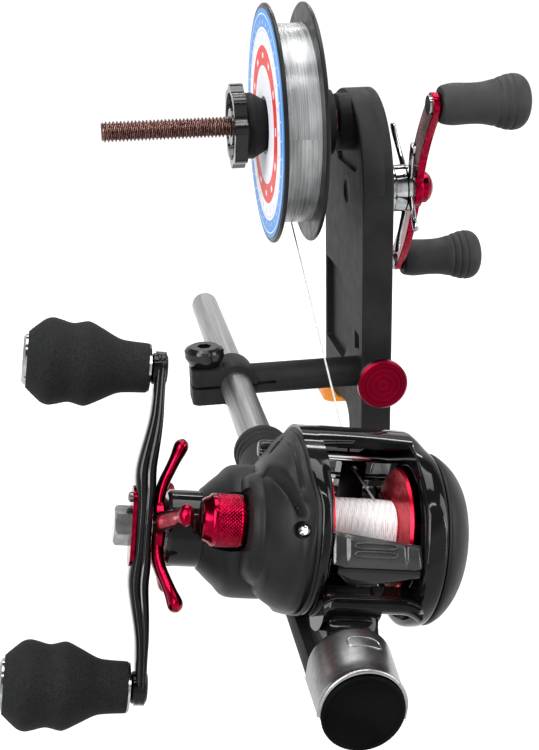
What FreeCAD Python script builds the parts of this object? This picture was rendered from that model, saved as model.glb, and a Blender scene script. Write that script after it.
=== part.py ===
"""Fishing line winder: a table-clamped column with a geared, hand-cranked spool shaft,
a cross arm and a bar that carries a baitcasting reel, and the line between the two spools.

Frame, in millimetres: X runs along the crank and spool shafts, from the supply spool side (-X)
to the crank side (+X).  Y runs away from the user, over the table.  Z is up.  The origin is the
middle of the face that the clamp rests on the table with.
"""
import FreeCAD, Part

import math
import os

V = FreeCAD.Vector
os.makedirs("parts", exist_ok=True)

# ------------------------------------------------------------------ driving dimensions
RUN = 0.05                      # radial running clearance of shafts and screws
GAP = 0.4                       # side clearance of moving parts

# column, a flat moulding with a table clamp at its foot
COLUMN_T = 12.0                 # thickness, along X
COLUMN_DEPTH = 71.3             # front to back
COLUMN_BACK = 13.3              # Y of the back edge
ARCH_Z = 100.5                  # height of the centre of the round top
EDGE_R = 1.0                    # rounding of the moulding's long edges
SPINE_DEPTH = 23.0              # depth of the column behind the clamp throat
THROAT = 52.0                   # opening of the clamp under the table face
LOWER_JAW_H = 19.0
LOWER_JAW_BACK = 12.0
PAD_T = 2.5                     # soft table pad
PAD_W = 22.0
PAD_L = 22.0
COVER_T = 3.7                   # gear cover on the crank side
COVER_Z = 65.0                  # lower edge of the gear cover
POCKET_DEPTH = 2.5              # weight-saving pocket in the spool-side face
RECESS_DEPTH = 1.2
GEAR_WALL = 3.0                 # wall left of the gear chamber

# winder gears
WINDER_MODULE = 0.8
CRANK_TEETH = 50
PINION_TEETH = 18
WINDER_GEAR_T = 4.1
CRANK_Y = -29.0
CRANK_Z = 97.0

# spool shaft
SHAFT_R = 3.97                  # 5/16 in rod
SHAFT_LEFT = -101.1
JOURNAL_R = 3.0
BEARING_R = 8.0
BEARING_W = 5.0
BEARING_BOSS_R = 11.0
BEARING_BOSS_X = -10.5
COLLAR_R = 7.0
COLLAR_W = 1.5

# supply spool
SUPPLY_R = 45.3
SUPPLY_LEFT = -38.2
SUPPLY_W = 16.5
FLANGE_T = 1.6
SUPPLY_BORE_R = 9.5
CORE_R = 22.0
WOUND_R = 37.7
LABEL_R = 43.4
LABEL_T = 0.25

# cones and hand nut
CONE_R = 12.5
CONE_TIP_R = 8.1
NUT_R = 16.2
NUT_T = 5.0
NUT_HUB_R = 11.0
NUT_LOBES = 8

# crank side of the winder
HUB_R = 10.1
HUB_LEN = 10.3
HUB_WALL = 2.1
CRANK_SHAFT_R = 5.0
WINDER_STAR_R = 27.5
STAR_ARMS = 5
WINDER_STAR_X = 17.0
WINDER_STAR_T = 2.4
WINDER_STAR_DISH = 2.2          # tips lean back towards the column
WINDER_ARM = 43.5               # crank axis to knob axis
WINDER_ARM_ANGLE = 34.6         # from +Z towards -Y
WINDER_ARM_X = 20.2
WINDER_ARM_T = 3.2
WINDER_KNOB_L = 34.3
WINDER_KNOB_R = 10.5
KNOB_PIN_R = 2.5

# cross arm and bar clamp
ARM_R = 6.0
ARM_INSET = 7.8                 # arm axis behind the column's front edge
ARM_Z = 28.5
BAR_X = -56.0
BAR_R = 6.0
BAR_WALL = 1.0
BAR_FAR = 52.7
BAR_INSET = 2.0                 # bar's near end inside the seat
CLAMP_W = 15.5
CLAMP_LEFT = -73.0
CLAMP_HUMP_R = 8.5
CLAMP_H = 14.0
CLAMP_SCREW_X = -67.2
SLIT = 1.2
SLIT_END = -40.0
M5_R = 2.5
LOCK_DISC_R = 9.8
LOCK_DISC_T = 3.5
LOCK_REACH = 10.6               # disc's face before the column's front edge

# table clamp screw
CLAMP_SCREW_R = 4.0
SWIVEL_R = 9.0
SWIVEL_T = 5.5
SWIVEL_TOP = -33.5
CLAMP_TRAVEL_UP = 30.0
CLAMP_KNOB_R = 11.0
CLAMP_KNOB_H = 10.0
CLAMP_KNOB_NECK = 2.0

# reel seat on the bar
SEAT_R = 9.7
SEAT_FAR = -133.0
SEAT_TAIL = 6.9                 # seat beyond the near end of the reel foot
SEAT_COLLAR_L = 12.0
SEAT_COLLAR_R = 9.6
SEAT_FLAT = 7.4                 # height of the foot's seat above the bar axis
HOOD_LEN = 12.0
HOOD_RISE = 2.4
HOOD_T = 0.7
FRONT_HOOD_R = 11.0
FRONT_HOOD_L = 15.0
END_CAP_T = 3.5

# reel, in its own frame: x along the spool axis, y away from the user, z up, origin on the
# spool axis above the bar
REEL_ROLL = 8.8                 # lean of the reel about the bar
REEL_Y = -228.6
REEL_H = 25.5                   # spool axis above the bar axis
FRAME_LEFT = -10.0
FRAME_LEFT_T = 3.0
FRAME_RIGHT = 15.8
FRAME_RIGHT_T = 6.0
FRAME_R = 21.5
RIGHT_R = 22.4
NOSE_R = 17.3
NOSE_Y = 16.8
NOSE_Z = -2.2
SPOOL_R = 15.6
ARBOR_R = 6.0
REEL_LINE_R = 7.3
SPOOL_SHAFT_R = 1.5
REEL_MODULE = 0.5
DRIVE_TEETH = 53
REEL_PINION_TEETH = 11
DRIVE_ANGLE = -35.2             # direction of the drive axis from the spool axis
DRIVE_SHAFT_R = 2.5
WORM_DRIVE_TEETH = 38
WORM_TEETH = 20
WORM_Y = 26.0
WORM_GEAR_X = -12.9
WORM_GEAR_T = 1.7
DRIVE_GEAR_X = -16.5
DRIVE_GEAR_T = 3.0
NECK_R = 9.9
NECK_X = -33.8
NECK_LEN = 8.8
CAST_CAP_R = 6.7
CAST_CAP_X = -35.6
CAST_CAP_LEN = 10.6
CAST_BOSS_R = 5.3
REEL_STAR_R = 23.5
REEL_STAR_X = -46.0
HANDLE_X = -50.4
HANDLE_T = 2.2
HANDLE_SWEEP = 2.6
HANDLE_ARM = 41.0
HANDLE_ANGLE = -23.8            # from +z towards -y
GRIP_LEN = 31.4
GRIP_R = 11.2
SPINDLE_R = 2.0
FOOT_T = 2.2
FOOT_W = 13.0
FOOT_LEN = 56.0
FOOT_SHIFT = -4.5                # middle of the foot from the spool axis
LINE_R = 0.3

# ------------------------------------------------------------------ places worked out from them
HALF_T = COLUMN_T / 2
COLUMN_FRONT = COLUMN_BACK - COLUMN_DEPTH
ARM_Y = COLUMN_FRONT + ARM_INSET
LOCK_FRONT = COLUMN_FRONT - LOCK_REACH
ARCH_R = COLUMN_DEPTH / 2
ARCH_Y = COLUMN_FRONT + ARCH_R
ARCH_TOP = ARCH_Z + ARCH_R
SPINE_BACK = COLUMN_FRONT + SPINE_DEPTH
COVER_X = HALF_T - COVER_T
CHAMBER_X = -HALF_T + GEAR_WALL
GEAR_X = CHAMBER_X + GAP + 0.2
WINDER_CENTRES = WINDER_MODULE * (CRANK_TEETH + PINION_TEETH) / 2
SHAFT_Y = CRANK_Y
SHAFT_Z = CRANK_Z + WINDER_CENTRES
SHAFT_COLLAR_X = BEARING_BOSS_X - 0.5
CONE_SEAT = SHAFT_COLLAR_X - COLLAR_W
SUPPLY_RIGHT = SUPPLY_LEFT + SUPPLY_W
NUT_X = SUPPLY_LEFT - 13.6
REEL_CENTRES = REEL_MODULE * (DRIVE_TEETH + REEL_PINION_TEETH) / 2
DRIVE_Y = REEL_CENTRES * math.cos(math.radians(DRIVE_ANGLE))
DRIVE_Z = REEL_CENTRES * math.sin(math.radians(DRIVE_ANGLE))
FOOT_Z = SEAT_FLAT - REEL_H
SEAT_NEAR = REEL_Y + FOOT_SHIFT - FOOT_LEN / 2 - SEAT_TAIL
BAR_NEAR = SEAT_NEAR + BAR_INSET
WORM_CENTRES = REEL_MODULE * (WORM_DRIVE_TEETH + WORM_TEETH) / 2
WORM_Z = DRIVE_Z + math.sqrt(WORM_CENTRES ** 2 - (WORM_Y - DRIVE_Y) ** 2)
WORM_ANGLE = math.degrees(math.atan2(WORM_Z - DRIVE_Z, WORM_Y - DRIVE_Y))
# circles and axes of the reel, as (y, z) or (y, z, radius)
GUIDE_X = 8.0
LINE_Z = 5.7
SPOOL_AXIS = (0.0, 0.0)
DRIVE_AXIS = (DRIVE_Y, DRIVE_Z)
NOSE = (NOSE_Y, NOSE_Z, NOSE_R)
BODY_LEFT = (-0.5, -1.0, FRAME_R)
BODY_RIGHT = (-1.2, -1.8, RIGHT_R)
BAR_A = (21.5, 10.2, 1.3)
BAR_B = (26.0, 2.6, 1.0)
WORM = (WORM_Y, WORM_Z, 2.4)

X_AXIS = V(1, 0, 0)
Y_AXIS = V(0, 1, 0)
Z_AXIS = V(0, 0, 1)


# ------------------------------------------------------------------ helpers
def rod(radius, start, end):
    """Round bar between two points."""
    run = end - start
    return Part.makeCylinder(radius, run.Length, start, run)


def pipe(outer, inner, start, end):
    return rod(outer, start, end).cut(rod(inner, start, end))


def box(x0, x1, y0, y1, z0, z1):
    return Part.makeBox(x1 - x0, y1 - y0, z1 - z0, V(x0, y0, z0))


def turned(profile, origin=V(0, 0, 0), axis=X_AXIS):
    """Solid of revolution.  profile is a list of (distance along the axis, radius)."""
    points = [V(u, r, 0) for u, r in profile]
    face = Part.Face(Part.makePolygon(points + points[:1]))
    solid = face.revolve(V(0, 0, 0), X_AXIS, 360)
    solid.Placement = FreeCAD.Placement(origin, FreeCAD.Rotation(X_AXIS, axis))
    return solid


def turned_smooth(curve, origin=V(0, 0, 0), axis=X_AXIS):
    """Solid of revolution whose side is one smooth curve through (distance, radius) points."""
    side = Part.BSplineCurve()
    side.interpolate([V(u, r, 0) for u, r in curve])
    first, last = curve[0], curve[-1]
    foot = [V(last[0], last[1], 0), V(last[0], 0, 0), V(first[0], 0, 0), V(first[0], first[1], 0)]
    edges = [side.toShape()]
    for a, b in zip(foot, foot[1:]):
        if a.distanceToPoint(b) > 1e-6:
            edges.append(Part.makeLine(a, b))
    solid = Part.Face(Part.Wire(edges)).revolve(V(0, 0, 0), X_AXIS, 360)
    solid.Placement = FreeCAD.Placement(origin, FreeCAD.Rotation(X_AXIS, axis))
    return solid


def rounded_wire(corners, x):
    """Closed wire in the plane X = x through (y, z, corner radius) corners."""
    count = len(corners)
    arcs = []
    for i, (y, z, radius) in enumerate(corners):
        here = V(x, y, z)
        before = (V(x, *corners[i - 1][:2]) - here).normalize()
        after = (V(x, *corners[(i + 1) % count][:2]) - here).normalize()
        half = before.getAngle(after) / 2
        reach = radius / math.tan(half)
        middle = (before + after).normalize()
        centre = here + middle * (radius / math.sin(half))
        arcs.append((here + before * reach, centre - middle * radius, here + after * reach))
    edges = []
    for i, (start, middle, end) in enumerate(arcs):
        edges.append(Part.Arc(start, middle, end).toShape())
        following = arcs[(i + 1) % count][0]
        if end.distanceToPoint(following) > 1e-6:
            edges.append(Part.makeLine(end, following))
    return Part.Wire(edges)


def slab(corners, x0, x1):
    """Plate between X = x0 and X = x1 with a rounded polygon outline."""
    return Part.Face(rounded_wire(corners, x0)).extrude(V(x1 - x0, 0, 0))


def polygon_slab(points, x0, x1):
    path = [V(x0, y, z) for y, z in points]
    return Part.Face(Part.makePolygon(path + path[:1])).extrude(V(x1 - x0, 0, 0))


def belt_wire(x, circle_a, circle_b):
    """Outline round two circles, each (y, z, radius), as a belt would run."""
    (ya, za, ra), (yb, zb, rb) = circle_a, circle_b
    base = math.atan2(zb - za, yb - ya)
    lean = math.acos((ra - rb) / math.hypot(yb - ya, zb - za))

    def on(y, z, r, angle):
        return V(x, y + r * math.cos(angle), z + r * math.sin(angle))

    up, down = base + lean, base - lean
    arc_a = Part.Arc(on(ya, za, ra, up), on(ya, za, ra, base + math.pi), on(ya, za, ra, down))
    arc_b = Part.Arc(on(yb, zb, rb, down), on(yb, zb, rb, base), on(yb, zb, rb, up))
    sides = [
        Part.makeLine(on(ya, za, ra, down), on(yb, zb, rb, down)),
        Part.makeLine(on(yb, zb, rb, up), on(ya, za, ra, up)),
    ]
    return Part.Wire([arc_a.toShape(), sides[0], arc_b.toShape(), sides[1]])


def belt_slab(x0, x1, circle_a, circle_b):
    return Part.Face(belt_wire(x0, circle_a, circle_b)).extrude(V(x1 - x0, 0, 0))


def belt_loft(sections):
    """Shell form through belt outlines, given as (x, circle_a, circle_b)."""
    wires = [belt_wire(*section) for section in sections]
    body = Part.makeLoft(wires[:2], True, True)
    for pair in zip(wires[1:], wires[2:]):
        body = body.fuse(Part.makeLoft(list(pair), True, True))
    return body.removeSplitter()


def gear_points(module, teeth, phase_deg, thin=0.06):
    """Involute spur gear outline as (y, z) points, a tooth centred on the phase angle."""
    pressure = math.radians(20)
    pitch_r = module * teeth / 2
    base_r = pitch_r * math.cos(pressure)
    root_r = pitch_r - 1.25 * module
    tip_r = pitch_r + 0.85 * module
    inv = math.tan(pressure) - pressure
    half_tooth = math.pi / (2 * teeth) - thin / pitch_r
    points = []
    for tooth in range(teeth):
        centre = math.radians(phase_deg) + 2 * math.pi * tooth / teeth
        flank = []
        for step in range(5):
            r = max(base_r, root_r) + (tip_r - max(base_r, root_r)) * step / 4
            roll = math.acos(min(1.0, base_r / r))
            flank.append((r, half_tooth + inv - (math.tan(roll) - roll)))
        flank.insert(0, (root_r, flank[0][1]))
        sides = [(r, -a) for r, a in flank] + [(r, a) for r, a in reversed(flank)]
        for r, a in sides:
            points.append((r * math.cos(centre + a), r * math.sin(centre + a)))
    return points


def gear(module, teeth, phase_deg, centre, x0, x1, bore):
    points = [(y + centre[0], z + centre[1]) for y, z in gear_points(module, teeth, phase_deg)]
    blank = polygon_slab(points, x0, x1)
    return blank.cut(rod(bore, V(x0 - 1, *centre), V(x1 + 1, *centre)))


def ribbon(length, width_mid, width_end, bow, x0, x1):
    """Double crank arm along Z through the origin, both halves bowed the opposite way."""
    steps = 12
    left, right = [], []
    for i in range(steps + 1):
        s = -1 + 2 * i / steps
        half = (width_mid + (width_end - width_mid) * abs(s) ** 0.7) / 2
        y = bow * math.sin(math.pi * s)
        left.append(V(x0, y - half, s * length))
        right.append(V(x0, y + half, s * length))
    side_a, side_b = Part.BSplineCurve(), Part.BSplineCurve()
    side_a.interpolate(left)
    side_b.interpolate(right[::-1])
    reach = length + width_end / 2
    top = Part.Arc(left[-1], V(x0, 0, reach), right[-1])
    bottom = Part.Arc(right[0], V(x0, 0, -reach), left[0])
    wire = Part.Wire([side_a.toShape(), top.toShape(), side_b.toShape(), bottom.toShape()])
    return Part.Face(wire).extrude(V(x1 - x0, 0, 0))


def star(reach, root_r, root_w, tip_w, phase_deg, x0, x1):
    """Star wheel blank about the X axis: a hub disc and tapering arms with round tips."""
    blank = rod(root_r, V(x0, 0, 0), V(x1, 0, 0))
    for arm in range(STAR_ARMS):
        angle = math.radians(phase_deg + 360 * arm / STAR_ARMS)
        y, z = -math.sin(angle), math.cos(angle)
        tip = reach - tip_w / 2
        inner = (y * root_r * 0.7, z * root_r * 0.7, root_w / 2)
        outer = (y * tip, z * tip, tip_w / 2)
        blank = blank.fuse(belt_slab(x0, x1, inner, outer))
    return blank.removeSplitter()


def pan_screw(origin, axis, head_r, head_h, shank_r, shank_len):
    """Pan-head screw with a cross recess.  origin is under the head, axis points out of it."""
    profile = [(-shank_len, 0), (-shank_len, shank_r), (0, shank_r), (0, head_r),
               (head_h * 0.45, head_r), (head_h * 0.85, head_r * 0.75), (head_h, head_r * 0.35), (head_h, 0)]
    screw = turned(profile)
    slot_w, slot_l, slot_d = head_r * 0.24, head_r * 0.7, head_h * 0.6
    for w, l in ((slot_w, slot_l), (slot_l, slot_w)):
        screw = screw.cut(box(head_h - slot_d, head_h + 1, -w, w, -l, l))
    screw.Placement = FreeCAD.Placement(origin, FreeCAD.Rotation(X_AXIS, axis))
    return screw


def turn_about_x(shape, angle_deg, y=0.0, z=0.0):
    shape = shape.copy()
    shape.rotate(V(0, y, z), X_AXIS, angle_deg)
    return shape


def moved(shape, x, y, z):
    shape = shape.copy()
    shape.translate(V(x, y, z))
    return shape


def group(shapes):
    return Part.makeCompound(shapes)


NODES = {}


def keep(name, shape):
    NODES[name] = shape


# ------------------------------------------------------------------ column and table clamp
def column_outline():
    back, front = COLUMN_BACK, COLUMN_FRONT
    return [
        (back, ARCH_TOP, ARCH_R),
        (front, ARCH_TOP, ARCH_R),
        (front, -THROAT - LOWER_JAW_H, 9.0),
        (LOWER_JAW_BACK, -THROAT - LOWER_JAW_H, 6.0),
        (LOWER_JAW_BACK, -THROAT, 3.0),
        (SPINE_BACK, -THROAT, 8.0),
        (SPINE_BACK, PAD_T + 5.8, 8.0),
        (-PAD_L / 2 + 2.5, PAD_T, 10.0),
        (back, PAD_T, 2.0),
    ]


def make_column():
    blank = slab(column_outline(), -HALF_T, HALF_T)
    rims = [e for e in blank.Edges if abs(abs(e.CenterOfMass.x) - HALF_T) < 1e-6]
    blank = blank.makeFillet(EDGE_R, rims)
    cover_room = box(COVER_X, HALF_T + 1, COLUMN_FRONT - 1, COLUMN_BACK + 1, COVER_Z, ARCH_TOP + 1)
    body = blank.cut(cover_room)
    cover = blank.common(cover_room)

    # gear chamber, closed by the cover
    room = 1.0
    crank_r = WINDER_MODULE * (CRANK_TEETH / 2 + 1) + room
    pinion_r = WINDER_MODULE * (PINION_TEETH / 2 + 1) + room
    chamber = belt_slab(CHAMBER_X, COVER_X, (CRANK_Y, CRANK_Z, crank_r), (SHAFT_Y, SHAFT_Z, pinion_r))
    body = body.cut(chamber)

    # round recess behind the supply spool, inside the arch rim
    rim = 3.0
    disc = rod(23.0, V(-HALF_T, SHAFT_Y, SHAFT_Z), V(-HALF_T + RECESS_DEPTH, SHAFT_Y, SHAFT_Z))
    arch = rod(ARCH_R - rim, V(-HALF_T, ARCH_Y, ARCH_Z), V(-HALF_T + RECESS_DEPTH, ARCH_Y, ARCH_Z))
    above = box(-HALF_T, 0, COLUMN_FRONT, COLUMN_BACK, CRANK_Z + 10, ARCH_TOP)
    body = body.cut(disc.common(arch).common(above))

    # bearing boss and its bore, the bearing is pressed in from the gear chamber
    boss = rod(BEARING_BOSS_R, V(BEARING_BOSS_X, SHAFT_Y, SHAFT_Z), V(CHAMBER_X, SHAFT_Y, SHAFT_Z))
    body = body.fuse(boss)
    lip = 1.0
    seat_x = BEARING_BOSS_X + lip
    body = body.cut(rod(BEARING_R, V(seat_x, SHAFT_Y, SHAFT_Z), V(COVER_X, SHAFT_Y, SHAFT_Z)))
    body = body.cut(rod(BEARING_R - 2, V(BEARING_BOSS_X - 1, SHAFT_Y, SHAFT_Z), V(0, SHAFT_Y, SHAFT_Z)))
    bearing = pipe(BEARING_R, SHAFT_R + RUN, V(seat_x, SHAFT_Y, SHAFT_Z),
                   V(seat_x + BEARING_W, SHAFT_Y, SHAFT_Z))

    # bronze bushes: crank shaft in body and cover, spool shaft in the cover
    bush_wall = 2.0
    left_x = -HALF_T + 0.8
    body = body.cut(rod(7.0, V(-HALF_T - 1, CRANK_Y, CRANK_Z), V(left_x, CRANK_Y, CRANK_Z)))
    body = body.cut(rod(4 + bush_wall, V(-HALF_T, CRANK_Y, CRANK_Z), V(CHAMBER_X, CRANK_Y, CRANK_Z)))
    left_bush = pipe(4 + bush_wall, 4 + RUN, V(left_x, CRANK_Y, CRANK_Z), V(CHAMBER_X, CRANK_Y, CRANK_Z))
    outer = CRANK_SHAFT_R + bush_wall
    cover = cover.cut(rod(outer, V(0, CRANK_Y, CRANK_Z), V(HALF_T + 1, CRANK_Y, CRANK_Z)))
    right_bush = pipe(outer, CRANK_SHAFT_R + RUN, V(COVER_X, CRANK_Y, CRANK_Z), V(HALF_T, CRANK_Y, CRANK_Z))
    blind = COVER_X + COVER_T - 1.0
    cover = cover.cut(rod(JOURNAL_R + bush_wall, V(0, SHAFT_Y, SHAFT_Z), V(blind, SHAFT_Y, SHAFT_Z)))
    small_bush = pipe(JOURNAL_R + bush_wall, JOURNAL_R + RUN, V(COVER_X, SHAFT_Y, SHAFT_Z),
                      V(blind, SHAFT_Y, SHAFT_Z))

    # cover screws
    screws = []
    inset = 6.0
    spots = [(COLUMN_FRONT + inset, COVER_Z + inset), (COLUMN_BACK - inset, COVER_Z + inset)]
    for angle in (38, 142):
        reach = ARCH_R - inset
        spots.append((ARCH_Y + reach * math.cos(math.radians(angle)),
                      ARCH_Z + reach * math.sin(math.radians(angle))))
    for y, z in spots:
        cover = cover.cut(rod(1.5, V(0, y, z), V(HALF_T + 1, y, z)))
        cover = cover.cut(rod(2.9, V(HALF_T - 1.6, y, z), V(HALF_T + 1, y, z)))
        body = body.cut(rod(1.45, V(COVER_X - 5, y, z), V(COVER_X, y, z)))
        screws.append(pan_screw(V(HALF_T - 1.6, y, z), X_AXIS, 2.7, 1.5, 1.45, 6.5))

    # pocket in the lower part of the spool-side face, with a round boss left for the arm
    deep = -HALF_T + POCKET_DEPTH
    wing = CRANK_Y + 3.7
    pocket = slab([(COLUMN_BACK - 3.5, 61, 1.5), (wing + 7, 61, 2), (wing, 57.8, 2), (wing, 44, 1.2),
                   (COLUMN_FRONT + 5.4, 44, 1.5), (COLUMN_FRONT + 5.4, 24, 1.5),
                   (COLUMN_BACK - 3.5, 24, 1.5)], -HALF_T - 1, deep)
    pocket = pocket.cut(rod(ARM_R + 3.2, V(-HALF_T - 2, ARM_Y, ARM_Z), V(deep, ARM_Y, ARM_Z)))
    rib = polygon_slab([(ARM_Y + 5, ARM_Z), (ARM_Y + 24, 24), (ARM_Y + 26.5, 24), (ARM_Y + 8, 44.5),
                        (ARM_Y + 5.5, 44.5)], -HALF_T - 1, deep)
    body = body.cut(pocket.cut(rib))

    # cross arm bore and its lock screw thread
    body = body.cut(rod(ARM_R + RUN, V(-HALF_T - 1, ARM_Y, ARM_Z), V(HALF_T + 1, ARM_Y, ARM_Z)))
    body = body.cut(rod(M5_R + RUN, V(0, COLUMN_FRONT - 1, ARM_Z), V(0, ARM_Y, ARM_Z)))

    # clamp screw thread in the lower jaw
    body = body.cut(rod(CLAMP_SCREW_R + RUN, V(0, 0, -THROAT - LOWER_JAW_H - 1), V(0, 0, -THROAT + 1)))

    keep("column_body", body.removeSplitter())
    keep("column_cover", cover.removeSplitter())
    keep("shaft_bearing", bearing)
    keep("bronze_bushes", group([left_bush, right_bush, small_bush]))
    keep("cover_screws", group(screws))


def make_table_clamp():
    half = PAD_W / 2
    pad = box(-half, half, -PAD_L / 2, PAD_L / 2, 0, PAD_T)
    uprights = [e for e in pad.Edges if abs(e.tangentAt(e.FirstParameter).z) > 0.9]
    keep("table_pad", pad.makeFillet(5.0, uprights))

    socket_r, socket_h = 3.0, 3.0
    swivel_z = SWIVEL_TOP - SWIVEL_T
    swivel = turned([(0, 0), (0, SWIVEL_R - 3), (1.5, SWIVEL_R - 1), (3.5, SWIVEL_R), (SWIVEL_T, SWIVEL_R),
                     (SWIVEL_T, 0)], V(0, 0, swivel_z), Z_AXIS)
    swivel = swivel.cut(rod(socket_r, V(0, 0, swivel_z - 1), V(0, 0, swivel_z + socket_h)))
    keep("clamp_swivel_pad", swivel)

    knob_top = -THROAT - LOWER_JAW_H - CLAMP_TRAVEL_UP - CLAMP_KNOB_NECK - 1
    tip = swivel_z + socket_h
    bottom = knob_top - CLAMP_KNOB_H
    screw = turned([(bottom, 0), (bottom, 6), (bottom + 1, CLAMP_KNOB_R - 1), (bottom + 2, CLAMP_KNOB_R),
                    (knob_top - 2, CLAMP_KNOB_R), (knob_top - 0.8, CLAMP_KNOB_R - 1), (knob_top, 6.5),
                    (knob_top + CLAMP_KNOB_NECK, CLAMP_SCREW_R), (swivel_z - 0.1, CLAMP_SCREW_R),
                    (swivel_z - 0.1, socket_r - RUN), (tip - RUN, socket_r - RUN), (tip - RUN, 0)],
                   V(0, 0, 0), Z_AXIS)
    for i in range(6):
        angle = math.radians(60 * i)
        y, x = (CLAMP_KNOB_R + 3.2) * math.sin(angle), (CLAMP_KNOB_R + 3.2) * math.cos(angle)
        screw = screw.cut(rod(4.5, V(x, y, bottom - 1), V(x, y, knob_top + 3)))
    keep("clamp_screw", screw)


# ------------------------------------------------------------------ spool shaft and supply spool
def make_spool_shaft():
    origin = V(0, SHAFT_Y, SHAFT_Z)
    end_x = COVER_X + COVER_T - 1.0 - 0.1
    gear_end = GEAR_X + WINDER_GEAR_T
    shaft = turned([(SHAFT_LEFT, 0), (SHAFT_LEFT, SHAFT_R - 0.8), (SHAFT_LEFT + 0.8, SHAFT_R),
                    (CONE_SEAT, SHAFT_R), (CONE_SEAT, COLLAR_R), (SHAFT_COLLAR_X, COLLAR_R),
                    (SHAFT_COLLAR_X, SHAFT_R), (gear_end, SHAFT_R), (gear_end, JOURNAL_R),
                    (end_x, JOURNAL_R), (end_x, 0)], origin)
    keep("spool_shaft", shaft)
    keep("shaft_pinion", gear(WINDER_MODULE, PINION_TEETH, 270 + 180 / PINION_TEETH, (SHAFT_Y, SHAFT_Z),
                              GEAR_X, gear_end, SHAFT_R))

    left_in, right_in = SUPPLY_LEFT + FLANGE_T, SUPPLY_RIGHT - FLANGE_T
    core_wall, bore_wall = 2.0, 2.0
    bore = SUPPLY_BORE_R
    spool = turned([(SUPPLY_LEFT, bore), (SUPPLY_LEFT, SUPPLY_R - 0.5), (SUPPLY_LEFT + 0.5, SUPPLY_R),
                    (left_in - 0.3, SUPPLY_R), (left_in, SUPPLY_R - 0.4), (left_in, CORE_R),
                    (right_in, CORE_R), (right_in, SUPPLY_R - 0.4), (right_in + 0.3, SUPPLY_R),
                    (SUPPLY_RIGHT - 0.5, SUPPLY_R), (SUPPLY_RIGHT, SUPPLY_R - 0.5), (SUPPLY_RIGHT, bore)])
    spool = spool.cut(turned([(left_in, bore + bore_wall), (left_in, CORE_R - core_wall),
                              (right_in, CORE_R - core_wall), (right_in, bore + bore_wall)]))
    middle = (bore + bore_wall + CORE_R - core_wall) / 2
    for i in range(6):
        angle = math.radians(60 * i)
        y, z = middle * math.cos(angle), middle * math.sin(angle)
        spool = spool.cut(rod(3.0, V(right_in - 1, y, z), V(SUPPLY_RIGHT + 1, y, z)))
    spool.translate(origin)
    keep("supply_spool", spool)
    keep("supply_line", pipe(WOUND_R, CORE_R, origin + V(left_in, 0, 0), origin + V(right_in, 0, 0)))
    keep("supply_label", pipe(LABEL_R, bore + 1.5, origin + V(SUPPLY_LEFT - LABEL_T, 0, 0),
                              origin + V(SUPPLY_LEFT, 0, 0)))

    # cones that centre the spool on the shaft: each meets the bore's rim at the bore's radius
    slope = (CONE_R - SUPPLY_BORE_R) / 5.3
    tip_depth = (SUPPLY_BORE_R - CONE_TIP_R) / slope
    inner = [(SUPPLY_RIGHT - tip_depth, SHAFT_R), (SUPPLY_RIGHT - tip_depth, CONE_TIP_R),
             (SUPPLY_RIGHT, SUPPLY_BORE_R), (SUPPLY_RIGHT + 5.3, CONE_R), (CONE_SEAT, CONE_R),
             (CONE_SEAT, SHAFT_R)]
    keep("inner_cone", turned(inner, origin))
    back = SUPPLY_LEFT - 8.0
    outer = [(back, SHAFT_R + RUN), (back, CONE_R), (SUPPLY_LEFT - 5.3, CONE_R),
             (SUPPLY_LEFT, SUPPLY_BORE_R), (SUPPLY_LEFT + tip_depth, CONE_TIP_R),
             (SUPPLY_LEFT + tip_depth, SHAFT_R + RUN)]
    keep("outer_cone", turned(outer, origin))

    # lobed hand nut
    lobes = []
    for i in range(NUT_LOBES * 6):
        angle = 2 * math.pi * i / (NUT_LOBES * 6)
        r = NUT_R - 0.8 + 0.8 * math.cos(NUT_LOBES * angle)
        lobes.append(V(NUT_X, r * math.cos(angle), r * math.sin(angle)))
    rim = Part.BSplineCurve()
    rim.interpolate(lobes, PeriodicFlag=True)
    wheel = Part.Face(Part.Wire([rim.toShape()])).extrude(V(NUT_T, 0, 0))
    dish = 2.2
    wheel = wheel.cut(pipe(NUT_R - 3.4, 7.0, V(NUT_X - 1, 0, 0), V(NUT_X + dish, 0, 0)))
    for i in range(4):
        angle = math.radians(90 * i + 20)
        y, z = 10.4 * math.cos(angle), 10.4 * math.sin(angle)
        wheel = wheel.cut(rod(2.5, V(NUT_X - 1, y, z), V(NUT_X + NUT_T + 1, y, z)))
    hub = rod(NUT_HUB_R, V(NUT_X + NUT_T, 0, 0), V(back - 0.05, 0, 0))
    wheel = wheel.fuse(hub).cut(rod(SHAFT_R + RUN, V(NUT_X - 1, 0, 0), V(back + 1, 0, 0)))
    keep("hand_nut", moved(wheel, 0, SHAFT_Y, SHAFT_Z))


# ------------------------------------------------------------------ crank side of the winder
def winder_knob():
    """Soft knob along +X: straight grip, flared end with two grooves, round nose."""
    length, flare = WINDER_KNOB_L, WINDER_KNOB_R
    return turned_smooth([(0, 6.6), (1.2, 7.2), (5, 7.8), (11, 7.6), (16, 7.8), (20.5, 8.7), (24.5, 10.0),
                          (27.4, flare), (30.6, 10.0), (32.9, 8.0), (34.1, 4.4), (length, 0)])


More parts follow.
